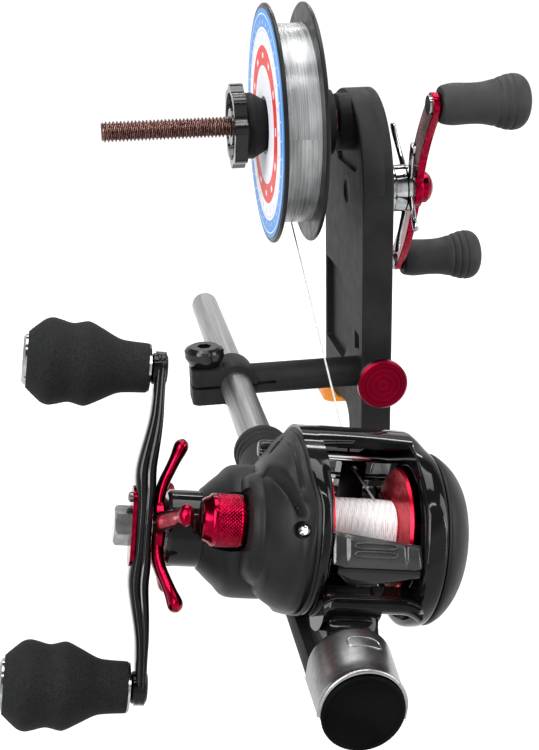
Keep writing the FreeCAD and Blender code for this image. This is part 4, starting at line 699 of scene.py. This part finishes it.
# ------------------------------------------------------------------ reel body, glossy frame and matte plates
LEFT, LEFT_IN, RIGHT, RIGHT_OUT = -10.0, -7.0, 15.8, 21.8
RING_LEFT = (-0.5, -1.0, 21.5)
RING_RIGHT = (-1.2, -1.8, 22.4)
NOSE = (16.8, -2.2, 17.3)
HOOD = curved([(3.4, 21.7), (6.0, 22.2), (9.0, 22.3), (14.0, 21.4), (19.0, 19.4), (24.0, 16.2), (28.6, 12.0),
               (31.6, 8.6)], 5)
HOOD_IN = curved([(31.0, 5.4), (28.2, 9.6), (23.4, 14.0), (18.4, 17.1), (13.6, 18.9), (9.0, 20.0), (6.4, 20.3),
                  (4.6, 20.2)], 5)
HOOD_RUN = curved([(-9.0, 18.6), (-5.0, 20.3), (-1.0, 21.2)] + HOOD[:1], 4) + HOOD[1:]


def over_hood(angle, r, centre):
    """How far the level wind's hood stands out over a ring, towards angle."""
    dy, dz = math.cos(angle), math.sin(angle)
    for (ya, za), (yb, zb) in zip(HOOD_RUN, HOOD_RUN[1:]):
        ey, ez, fy, fz = yb - ya, zb - za, ya - centre[0], za - centre[1]
        det = dy * ez - dz * ey
        if abs(det) < 1e-9:
            continue
        ahead = (fy * ez - fz * ey) / det
        share = (fy * dz - fz * dy) / det
        if 0 <= share <= 1 and ahead > r:
            return ahead - r
    return 0.0


def lean(rows):
    """The left rim's plane leans outwards where it meets the hood."""
    def shift(x, y, z):
        t = clamp((z + 0.35 * y - 6.0) / 11.0)
        share = (LEFT_IN - x) / (LEFT_IN - LEFT) if x > LEFT else (x - LEFT + 9.5) / 9.5
        return (x - 1.75 * ease(t) * clamp(share), y, z)

    return [[shift(*p) for p in row] for row in rows]


def ring_rows(ring, steps, bore):
    """Rows over a ring's outside, at (x, inset) steps, and back through its bore, at (x, radius) steps."""
    def raised(x, angle, r, centre):
        share = clamp((RIGHT_OUT + 0.6 - x) / 5.0) if x > 5 else 1.0
        return over_hood(angle, r, centre) * ease(share)

    rows = [belt_row((x, *ring[:2], ring[2] - d, *NOSE[:2], NOSE[2] - d), raised) for x, d in steps]
    return rows + [belt_row((x, 0.0, 0.0, r, 0.0, 0.0, r)) for x, r in bore]


def make_reel_frame():
    bore = 16.1
    rows = ring_rows(RING_LEFT, (
        (LEFT, 0.5), (LEFT + 0.25, 0.12), (LEFT + 0.7, -0.1), (LEFT + 1.5, -0.2), (LEFT_IN - 0.7, -0.05),
        (LEFT_IN - 0.15, 0.3), (LEFT_IN + 0.15, 1.0), (LEFT_IN, 1.7)), ((LEFT_IN - 0.2, bore), (LEFT, bore)))
    left = skin("frame_ring_left", lean(rows), gloss_metal, REEL, "reel", closed=True, sharp=50)
    rows = ring_rows(RING_RIGHT, (
        (RIGHT + 0.1, 2.4), (RIGHT - 0.1, 1.6), (RIGHT + 0.1, 0.8), (RIGHT + 0.7, 0.25), (RIGHT + 1.8, 0.0),
        (RIGHT + 3.4, 0.0), (RIGHT + 4.6, 0.15), (RIGHT + 5.4, 0.5), (RIGHT_OUT - 0.2, 1.0), (RIGHT_OUT, 1.7)),
        ((RIGHT_OUT, bore), (RIGHT + 0.8, bore), (RIGHT + 0.3, 16.5), (RIGHT + 0.25, 17.2)))
    right = skin("frame_ring_right", rows, gloss_metal, REEL, "reel", closed=True, sharp=50)

    # lower cross member: front lip, belly, and the arc that clears the spool; beside the foot
    # only its near and far bars run on to the right ring
    def arc(a0, a1):
        clear = bore + 0.35
        return [(clear * math.cos(math.radians(a)), clear * math.sin(math.radians(a))) for a in range(a0, a1, -6)]

    lip = [(-17.9, -9.9), (-20.4, -8.2), (-22.9, -7.9), (-24.1, -9.6)]
    toe_bar = [(17.8, -14.1), (24.0, -14.0), (28.6, -13.6), (30.6, -11.2), (29.4, -9.6), (26.0, -9.8), (20.5, -11.6)]
    full = curved(lip + [(-23.6, -12.4), (-21.4, -15.2), (-18.0, -17.2), (-14.0, -18.0), (-8.0, -18.1)], 4)
    full += [(16.8, -18.1)] + toe_bar + arc(-48, -147)
    near = curved(lip + [(-23.6, -10.9), (-22.2, -12.1), (-19.6, -12.6), (-16.2, -12.7), (-13.6, -12.3)], 4)
    near += arc(-134, -147)
    far = [(11.6, -12.6), (13.6, -14.1)] + toe_bar + arc(-42, -47)
    for name, outline, x0, x1 in (("under", full, LEFT_IN - 1.0, 6.9), ("near", near, 6.5, RIGHT + 0.8),
                                  ("far", far, 6.5, RIGHT + 0.8)):
        rows = []
        for k in range(25):
            x = x0 + (x1 - x0) * k / 24
            edge = max(0.0, 1 - min(x - LEFT_IN, RIGHT - x) / 3.2) ** 2
            swell = 1 + 0.05 * edge
            rows.append([(x, y * swell, z * swell) if math.hypot(y, z) > 17.2 and y < -8 and z > -17.9
                         else (x, y, z) for y, z in outline])
        skin("frame_cross_" + name, rows, gloss_metal, REEL, "reel", sharp=42)

    # neck and foot
    rows = []
    for y, half, low, top in ((-32.5, 5.7, -17.9, -16.3), (-32.1, 6.4, -18.1, -15.95), (-30.0, 6.5, -18.1, -15.8),
                              (-27.6, 6.5, -18.1, -15.2), (-25.6, 6.5, -18.1, -14.0), (-24.2, 6.6, -18.1, -12.6),
                              (-23.0, 6.8, -18.1, -11.2), (-21.8, 7.0, -17.8, -10.6), (-20.2, 7.1, -16.6, -11.2),
                              (-18.4, 7.1, -15.4, -13.6)):
        middle = (low + top) / 2
        row = [(half, y, low), (half, y, middle)]
        for angle in (math.pi * k / 20 for k in range(1, 20)):
            row.append((half * math.copysign(abs(math.cos(angle)) ** 0.55, math.cos(angle)), y,
                        middle + (top - low) / 2 * math.sin(angle) ** 0.7))
        rows.append(row + [(-half, y, middle), (-half, y, low)])
    neck = skin("frame_neck", rows, gloss_metal, REEL, "reel", sharp=45)
    rows = [[(x, y, z) for x, z in ((6.5, -18.1), (6.5, -16.1), (6.2, -15.9), (-6.2, -15.9), (-6.5, -16.1),
                                    (-6.5, -18.1))] for y in (12.0, 16.0, 20.0, 23.0, 23.5)]
    toe = skin("frame_toe", rows, gloss_metal, REEL, "reel")
    for k, (y, z) in enumerate(((-24.3, -12.9), (-25.6, -14.3))):
        tube("frame_step_%d" % k, [(-5.6, y + 0.4, z - 0.9), (-4.6, y, z + 0.05), (0.0, y - 0.25, z + 0.35),
                                   (4.6, y, z + 0.05), (5.6, y + 0.4, z - 0.9)], 0.34, gloss_metal, REEL, "reel")
    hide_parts("reel_frame")


def make_level_wind_hood():
    rows = []
    for k in range(33):
        u = k / 32
        x = LEFT_IN - 0.6 + (RIGHT + 1.0 - LEFT_IN + 0.6) * u
        crown = 0.35 * math.sin(math.pi * u)
        dish = -0.55 * bell(u - 0.5, 0.26)
        row = []
        for j, (y, z) in enumerate(HOOD):
            t = j / (len(HOOD) - 1)
            out = crown + dish * bell(t - 0.42, 0.13)
            length = math.hypot(y - 8, z)
            row.append((x, y + (y - 8) / length * out, z + z / length * out))
        rows.append(row + [(x, y, z) for y, z in [(31.7, 7.2), (31.5, 6.2)] + HOOD_IN + [(3.2, 20.2), (2.7, 20.9)]])
    piece = skin("level_wind_hood", rows, gloss_metal, REEL, "reel", sharp=48)
    stands_for("levelwind_cover")


def make_gear_plate():
    def crease(x, deg, r, start, end, width, depth):
        """A rounded furrow along a line in (x, degrees)."""
        scale = r * math.pi / 180
        ax, ay, bx, by = start[0], start[1] * scale, end[0], end[1] * scale
        px, py = x - ax, deg * scale - ay
        ex, ey = bx - ax, by - ay
        t = clamp((px * ex + py * ey) / (ex * ex + ey * ey))
        return -depth * bell(math.hypot(px - ex * t, py - ey * t), width) * min(1.0, 0.6 + t)

    def flange(x, angle, r, centre):
        deg = math.degrees(angle) % 360
        lift = 0.82 * over_hood(angle, r, centre) * clamp((x - LEFT + 8.0) / 8.0) ** 1.6
        out = crease(x, deg, r, (-21.0, 112), (-14.6, 151), 0.75, 2.0)
        out -= 0.6 * crease(x, deg, r, (-20.5, 104), (-15.0, 143), 1.5, 1.3)
        out += 3.0 * bell(deg - 253, 17) * clamp((x + 18.0) / 3.5)
        out += crease(x, deg, r, (-13.9, 138), (-13.4, 68), 0.5, 0.7)
        side = math.exp(-((deg - 186) / 25) ** 6)
        out += 0.6 * side * clamp((-10.9 - x) / 1.6) * (math.tanh((x + 14.5) / 0.35) + 1)
        return lift + out - 0.4 * bell(x - (LEFT - 0.75), 0.3)

    dome = curved([(LEFT - d, *circles) for d, *circles in (
        (0, *RING_LEFT, *NOSE), (3, -0.5, -1.0, 21.1, 16.2, -3.8, 17.1), (6, -0.5, -1.2, 20.0, 15.2, -5.4, 16.8),
        (8.5, -0.4, -1.5, 18.4, 14.2, -6.9, 16.2), (10.4, -0.2, -1.8, 16.7, 13.6, -7.9, 15.2),
        (11.2, 0.0, -1.9, 15.5, 13.3, -8.3, 14.2), (11.6, 0.0, -1.9, 14.6, 13.2, -8.5, 13.6),
        (12.0, 0.0, -1.8, 14.0, 13.1, -8.6, 13.2), (13.4, 0.0, -1.5, 13.3, 13.07, -8.8, 12.8),
        (14.6, 0.0, -1.1, 12.2, 13.07, -9.0, 12.4), (15.1, 0.0, -0.9, 11.3, 13.07, -9.2, 12.0),
        (15.4, 0.0, -0.8, 9.6, 13.07, -9.22, 11.6))], 6)
    plate = skin("gear_plate_shell", lean([belt_row(section, flange, 300) for section in dome]), dark_plate, REEL,
                 "reel", sharp=35)
    housing = [belt_row((x, 13.07, -9.22, r, 13.4, -9.4, r)) for x, r in curved(
        [(LEFT - 2, 17.2), (LEFT - 8, 17.4), (LEFT - 13, 17.4), (LEFT - 15.6, 17.2), (LEFT - 17.2, 16.6),
         (LEFT - 18.2, 15.7), (LEFT - 19.2, 14.6), (LEFT - 21.2, 12.9), (-33.0, 11.2), (-33.7, 10.6),
         (-33.8, 10.0)], 4)]
    carve(plate, [skin("housing", housing, dark_plate, REEL, "reel", sharp=35)], "UNION")
    # scoop round the cast control cap, open upwards and towards the user
    rows = [belt_row((x, 0.0, 0.0, 7.6 + d, -22.0, 13.0, 9.0 + d), steps=72)
            for x, d in ((-40.0, 0.9), (-30.0, 0.4), (-26.6, 0.0), (-24.9, -0.2), (-24.5, -0.9))]
    cuts = [skin("scoop", rows, dark_plate, REEL, "reel")]
    for seat, out in (((-13.6, -18.4, 7.3), (-0.62, -0.66, 0.42)), ((-15.0, 14.0, 13.5), (-0.8, 0.1, 0.6))):
        turn = Vector((1, 0, 0)).rotation_difference(Vector(out).normalized()).to_matrix().to_4x4()
        cuts.append(lathe("seat", [(-0.1, 0), (-0.1, 2.0), (1.2, 2.1), (2.2, 2.6), (9.0, 3.0), (9.0, 0)], dark_plate,
                          REEL @ along(*seat) @ turn, "reel", steps=40))
    cuts.append(lathe("bore", [(-40, 0), (-40, 2.7), (-9.5, 2.7), (-9.5, 0)], dark_plate, DRIVE, "reel", steps=40))
    carve(plate, cuts)
    stands_for("gear_side_plate")
    boss = lathe("cast_boss", [(-33.0, 1.8), (-33.0, 4.9), (-32.6, 5.3), (-23.6, 5.3), (-23.6, 1.8)], gloss_metal,
                 REEL, "reel", steps=64)

    # latch with its ribs
    latch = lathe("plate_latch", [(-17.8, 0), (-17.6, 1.9), (-17.0, 2.5), (-11.6, 2.6), (-10.6, 2.3), (-10.2, 0)],
                  gloss_black, REEL @ along(0, 28.9, 7.8), "reel", steps=80,
                  relief=lambda x, r, angle: -0.28 * (abs(math.sin(9 * angle)) < 0.42) if -17.1 < x < -11 else 0.0)


def make_rear_hood():
    """Saddle with a bead at its near rim, an embossed rounded outline, and the cap in its end."""
    radius, inside, near, low = 10.4, 9.8, -272.0, -1.5

    def on_hood(turn, y, out=0.0):
        rise = 0.6 + 1.8 * max(0.0, (y + 268.0) / 12.0)
        return ((radius + out) * math.sin(turn), y, (radius + out) * math.cos(turn) + rise)

    rows = []
    arc = [math.pi * (k / 36 - 0.5) for k in range(37)]
    for y, out in ([(-256.0, -0.2), (-256.25, 0.0)] + [(-257.0 - k, 0.0) for k in range(14)]
                   + [(-270.6, 0.0), (-271.0, 0.16), (-271.5, 0.2), (-271.85, 0.1), (near, -0.2)]):
        row = [(-radius - out, y, low)] + [on_hood(a, y, out) for a in arc] + [(radius + out, y, low)]
        rows.append(row + [(inside, y, low)] + [on_hood(a, y, inside - radius) for a in reversed(arc)]
                    + [(-inside, y, low)])
    hood = skin("rear_hood_shell", rows, hood_silver, SEAT, "reel", sharp=50)
    stands_for("rear_hood")
    outline = []
    for q in angles(48):
        c, d = math.cos(q), math.sin(q)
        outline.append(on_hood(0.1 + 0.4 * math.copysign(abs(c) ** 0.5, c),
                               -261.1 + 1.55 * math.copysign(abs(d) ** 0.6, d), 0.02))
    tube("rear_hood_emboss", outline, 0.22, hood_silver, SEAT, "reel", closed=True)
    cap = lathe("seat_end_disc", [(-272.6, 0), (-272.6, 8.9), (-272.85, 9.1), (-272.95, 9.4), (-272.8, 9.7),
                                  (-272.4, 9.95), (-272.1, 9.9), (near, 9.74), (-268.0, 9.74), (-268.0, 0)],
                rubber_black, SEAT @ Matrix.Rotation(math.pi / 2, 4, "Z"), "reel")
    stands_for("seat_end_cap")


def make_palm_plate():
    keys = [(RIGHT_OUT + d, *circles) for d, *circles in (
        (-0.1, -1.2, -1.8, 21.7, 16.8, -2.2, 16.4), (0.5, -1.2, -1.8, 21.9, 16.8, -2.2, 16.6),
        (1.6, -1.2, -1.8, 21.4, 16.6, -2.3, 16.0), (3.2, -1.1, -1.8, 20.3, 16.1, -2.5, 14.7),
        (5.0, -0.8, -1.7, 18.6, 15.2, -2.9, 12.8), (6.6, -0.4, -1.6, 16.5, 14.0, -3.3, 10.9),
        (7.8, 0.1, -1.5, 14.3, 12.8, -3.7, 9.2), (8.5, 0.4, -1.4, 12.0, 12.0, -4.0, 7.2),
        (8.6, 0.4, -1.4, 9.0, 11.0, -4.0, 4.6))]
    rows = [belt_row(section) for section in curved(keys, 4)]
    inner = [belt_row((x, 0.0, 0.0, 15.6 - d, 13.8, -2.2, 12.3 - d)) for x, d in
             ((RIGHT_OUT + 3.0, 12.0), (RIGHT_OUT + 3.0, 1.0), (RIGHT_OUT - 0.1, 0.0))]
    piece = skin("palm_plate_shell", inner + rows, dark_plate, REEL, "reel", sharp=40)
    stands_for("palm_side_plate")


def make_thumb_bar():
    rows = []
    for k in range(61):
        u = k / 60
        x = LEFT_IN + 0.45 + (RIGHT - LEFT_IN - 0.9) * u
        # the lower edge hangs lowest in the middle and is cut up at both ends
        low = 1.0 - 0.9 * bell(u, 0.16) - 0.75 * bell(1 - u, 0.13)
        pad = 0.75 * (1 / (1 + math.exp(-(x + 3.1) / 0.14)) - 1 / (1 + math.exp(-(x - 11.2) / 0.14)))
        end = 0.4 * (bell(u, 0.02) + bell(1 - u, 0.02))
        face = [(-16.8, 6.4, 0), (-17.3, 7.1, 0), (-18.3, 7.3, 0.3), (-19.2, 6.6, 1), (-20.6, 4.7, 1), (-21.7, 3.2, 1),
                (-22.4, 2.3 - 0.5 * low, 0.8), (-22.9, 1.6 - 1.4 * low, 0), (-22.8, 1.2 - 2.0 * low, 0),
                (-22.0, 1.0 - 1.9 * low, 0), (-20.8, 1.3 - 0.7 * low, 0), (-19.4, 2.4, 0), (-18.0, 4.0, 0),
                (-17.1, 5.3, 0)]
        face = [(y - 0.30 * u * max(0.0, z - 3.0), z - 0.55 * u * max(0.0, z - 3.0), w) for y, z, w in face]
        rows.append([(x, y + end, z - end * 0.4) for y, z in
                     curved([(y - 0.8 * pad * w, z + 0.6 * pad * w) for y, z, w in face + face[:1]], 3)[:-1]])
    piece = skin("thumb_bar_shell", rows, thumb_grey, REEL, "thumb", sharp=50)
    stands_for("thumb_bar")

    def on_face(x, t):
        out = 0.08 + 0.72
        return (x, -19.0 - 3.0 * t - 0.80 * out, 6.85 - 4.0 * t + 0.60 * out)

    # glossy lip that carries on below the pad
    rows = []
    for k in range(41):
        u = k / 40
        x = LEFT_IN + 1.6 + (RIGHT - LEFT_IN - 2.6) * u
        drop = 3.6 - 2.6 * max(0.0, (u - 0.22) / 0.78) ** 1.3 - 3.0 * max(0.0, (0.22 - u) / 0.22) ** 1.6
        edge = curved([(-22.2, 0.9), (-22.8, 0.6), (-23.35, -0.2), (-23.5, -0.4 - 0.5 * drop),
                       (-23.3, -0.5 - 0.9 * drop), (-22.9, -0.7 - drop), (-22.5, -0.5 - 0.85 * drop),
                       (-22.1, 0.0), (-22.2, 0.9)], 3)
        rows.append([(x, y, z) for y, z in edge[:-1]])
    lip = skin("thumb_bar_lip", rows, gloss_black, REEL, "thumb", sharp=60)

    # two embossed rounded outlines on the pad
    for index, (t0, t1) in enumerate(((0.36, 0.62), (0.76, 1.02))):
        outline = [(-0.9, t0), (4.5, t0), (8.0, t0), (9.0, (t0 + t1) / 2), (8.0, t1), (4.5, t1), (-0.9, t1),
                   (-1.9, (t0 + t1) / 2)]
        tube("thumb_emboss_%d" % index, [on_face(x, t) for x, t in outline], 0.24, thumb_grey, REEL, "thumb",
             closed=True)


# ------------------------------------------------------------------ reel handle and star, smooth forms
def make_reel_handle():
    """S-shaped double handle: thick in the middle, with a ridge along its edge."""
    arm, tip_radius = HANDLE_ARM, 4.6
    edge = ((-1.0, 0.30), (-0.93, 0.10), (-0.72, 0.0), (0.72, 0.0), (0.93, 0.10), (1.0, 0.30), (1.0, 0.46),
            (0.93, 0.50), (0.93, 0.56), (1.0, 0.62), (1.0, 0.80), (0.92, 0.96), (0.70, 1.0), (-0.70, 1.0),
            (-0.92, 0.96), (-1.0, 0.80), (-1.0, 0.62), (-0.93, 0.56), (-0.93, 0.50), (-1.0, 0.46))

    def hump(a, width):
        return math.exp(-(a / width) ** 4)

    rows = []
    for k in range(97):
        s = (-1 + 2 * k / 96) * (arm + tip_radius)
        a = abs(s)
        sweep = 2.6 * ease(clamp((a - 9.0) / 22.0))
        tip = clamp((arm + tip_radius - a) / tip_radius)
        round_off = math.sqrt(max(0.0, 1 - (1 - tip) ** 2))
        width = (5.2 - 1.1 * (min(a, arm) / arm) ** 0.8) * max(round_off, 0.05)
        middle = -0.8 * math.sin(math.pi * max(-1, min(1, s / arm)))
        out = -50.4 + sweep - 1.3 * (1 - hump(a, 12.0)) * hump(a, 30.0)
        thick = 2.8 + 2.5 * (1 - hump(a, 9.0)) * hump(a, 26.0) + 1.3 * hump(a, 9.0)
        rows.append([(out + thick * x, middle + y * width, s) for y, x in edge])
    piece = skin("reel_handle_arm", rows, gloss_metal, HANDLE, "handle", sharp=60)
    stands_for("reel_handle")
    for side, name in ((-1, "low"), (1, "up")):
        boss = lathe("handle_boss_" + name,
                     [(-48.9, 2.1), (-48.9, 3.4), (-48.4, 4.1), (-45.2, 4.1), (-44.7, 3.6), (-44.7, 2.1)],
                     gloss_metal, HANDLE @ along(0, 0, side * arm), "handle", steps=48)
    screw = lathe("retainer_screw",
                  [(-52.6, 0), (-52.5, 0.9), (-52.1, 1.35), (-51.55, 1.4), (-51.3, 1.4), (-51.3, 0)],
                  chrome_painted_dark_reflection, HANDLE @ along(0, 0, 7.4), "handle", steps=32)


def make_reel_star():
    """Five arms, swept towards the reel, each ending in a rounded bulb."""
    hub = lathe("reel_star_hub", [(-46.0, 2.6), (-46.0, 6.6), (-45.5, 7.4), (-43.9, 7.6), (-43.1, 6.8), (-43.1, 2.6)],
                red_anodised, DRIVE, "reel_star", steps=64)
    stands_for("reel_star")
    path = curved([(-44.6, 5.6), (-44.5, 8.5), (-43.6, 12.0), (-42.4, 15.0), (-41.2, 18.0), (-40.3, 20.4),
                   (-39.9, 21.6), (-39.7, 22.6), (-39.6, 23.3)], 4)
    wide = curved_values(3.5, 2.9, 2.4, 2.25, 2.3, 2.7, 2.75, 2.1, 0.25)
    thick = curved_values(1.4, 1.5, 1.5, 1.5, 1.6, 1.9, 1.9, 1.4, 0.2)
    rows = []
    for i, (x, r) in enumerate(path):
        a, b = path[max(i - 1, 0)], path[min(i + 1, len(path) - 1)]
        tx, tr = b[0] - a[0], b[1] - a[1]
        n = math.hypot(tx, tr)
        nx, nr = -tr / n, tx / n
        rows.append([(x + nx * thick[i] * math.sin(q), -wide[i] * math.cos(q), r + nr * thick[i] * math.sin(q))
                     for q in angles(20)])
    for arm in range(5):
        piece = skin("reel_star_arm_%d" % arm, rows, red_anodised, DRIVE @ turned(-17 + 72 * arm, "X"), "reel_star",
                     sharp=60)


def make_winder_star():
    """Five round spokes with drop-shaped ends, leaning back to the column."""
    place = Matrix.Translation(CRANK)
    hub = lathe("winder_star_hub", [(17.0, 5.2), (17.0, 8.6), (17.4, 9.2), (18.8, 9.2), (19.3, 8.6), (19.3, 5.2)],
                chrome, place, "winder_star", steps=72)
    stands_for("winder_star")
    path = curved([(18.2, 7.6), (18.0, 11.0), (17.4, 15.0), (16.8, 19.0), (16.3, 22.4), (16.1, 24.4), (16.0, 25.8),
                   (15.95, 27.0), (15.9, 27.5)], 4)
    wide = curved_values(2.6, 1.9, 1.35, 1.2, 1.5, 2.2, 2.3, 1.3, 0.2)
    rows = [[(x + 1.05 * min(1.0, w / 1.2) * math.sin(q), w * math.cos(q), r) for q in angles(18)]
            for (x, r), w in zip(path, wide)]
    for arm in range(5):
        piece = skin("winder_star_arm_%d" % arm, rows, chrome, place @ turned(42 + 72 * arm, "X"), "winder_star",
                     sharp=60)


def make_blind_plug():
    """Dished cap over the crank bearing, in the column's spool side."""
    piece = lathe("crank_bearing_plug",
                  [(-5.42, 0), (-5.45, 4.2), (-5.9, 4.8), (-6.0, 5.2), (-6.0, 6.85), (-5.4, 6.9), (-5.3, 6.9),
                   (-5.3, 0)],
                  matte_black, Matrix.Translation(CRANK), "base", steps=80)


# ------------------------------------------------------------------ lines
def make_reel_line():
    x0, x1, radius, core = -4.3, 13.1, 7.3, 6.02

    def wound(x, r, angle):
        if r < radius - 0.8:
            return 0.0
        a = math.sin(angle * 2 + x * 13.0)
        b = math.sin(angle * 3 - x * 11.0 + 1.3)
        c = math.sin(angle * 5 + x * 17.0 + 0.4 * math.sin(7 * angle))
        sag = -0.25 * (2 * (x - x0) / (x1 - x0) - 1) ** 4
        return sag + 0.10 * max(a, b) + 0.05 * c - 0.1

    profile = [(x0, core)] + [(x0 + (x1 - x0) * k / 140, radius) for k in range(141)] + [(x1, core)]
    piece = lathe("reel_line_wound", profile, wound_braid(), REEL, "reel_spool", steps=180, relief=wound, sharp=70)
    stands_for("reel_line")


def make_line():
    """The line from the supply spool's underside through the guide's eye to the reel, on part.py's route."""
    start, before, eye, end = ((-27.95, -23.03, 86.65), (-43.02, -199.06, 58.67), (-43.32, -202.6, 58.11),
                               (-43.03, -228.03, 59.99))
    piece = tube("mono_line", [start, before, eye, end], 0.3, strand, Matrix.Identity(4), "reel")
    stands_for("line_run")


make_camera()
for make in (make_spool_shaft, make_winder_knobs, make_grips, make_cast_cap, make_reel_frame, make_level_wind_hood,
             make_gear_plate, make_palm_plate, make_rear_hood, make_thumb_bar, make_reel_handle, make_reel_star,
             make_winder_star, make_blind_plug, make_reel_line, make_line):
    make()
for name, width in (("column_body", 0.0005), ("column_cover", 0.0004), ("cross_arm", 0.0005), ("hand_nut", 0.0004),
                    ("winder_crank", 0.0006), ("seat_barrel", 0.0004), ("handle_nut", 0.0003)):
    soften(name, width)
make_stage()

bpy.context.scene.view_settings.view_transform = "Standard"
bpy.context.view_layer.update()
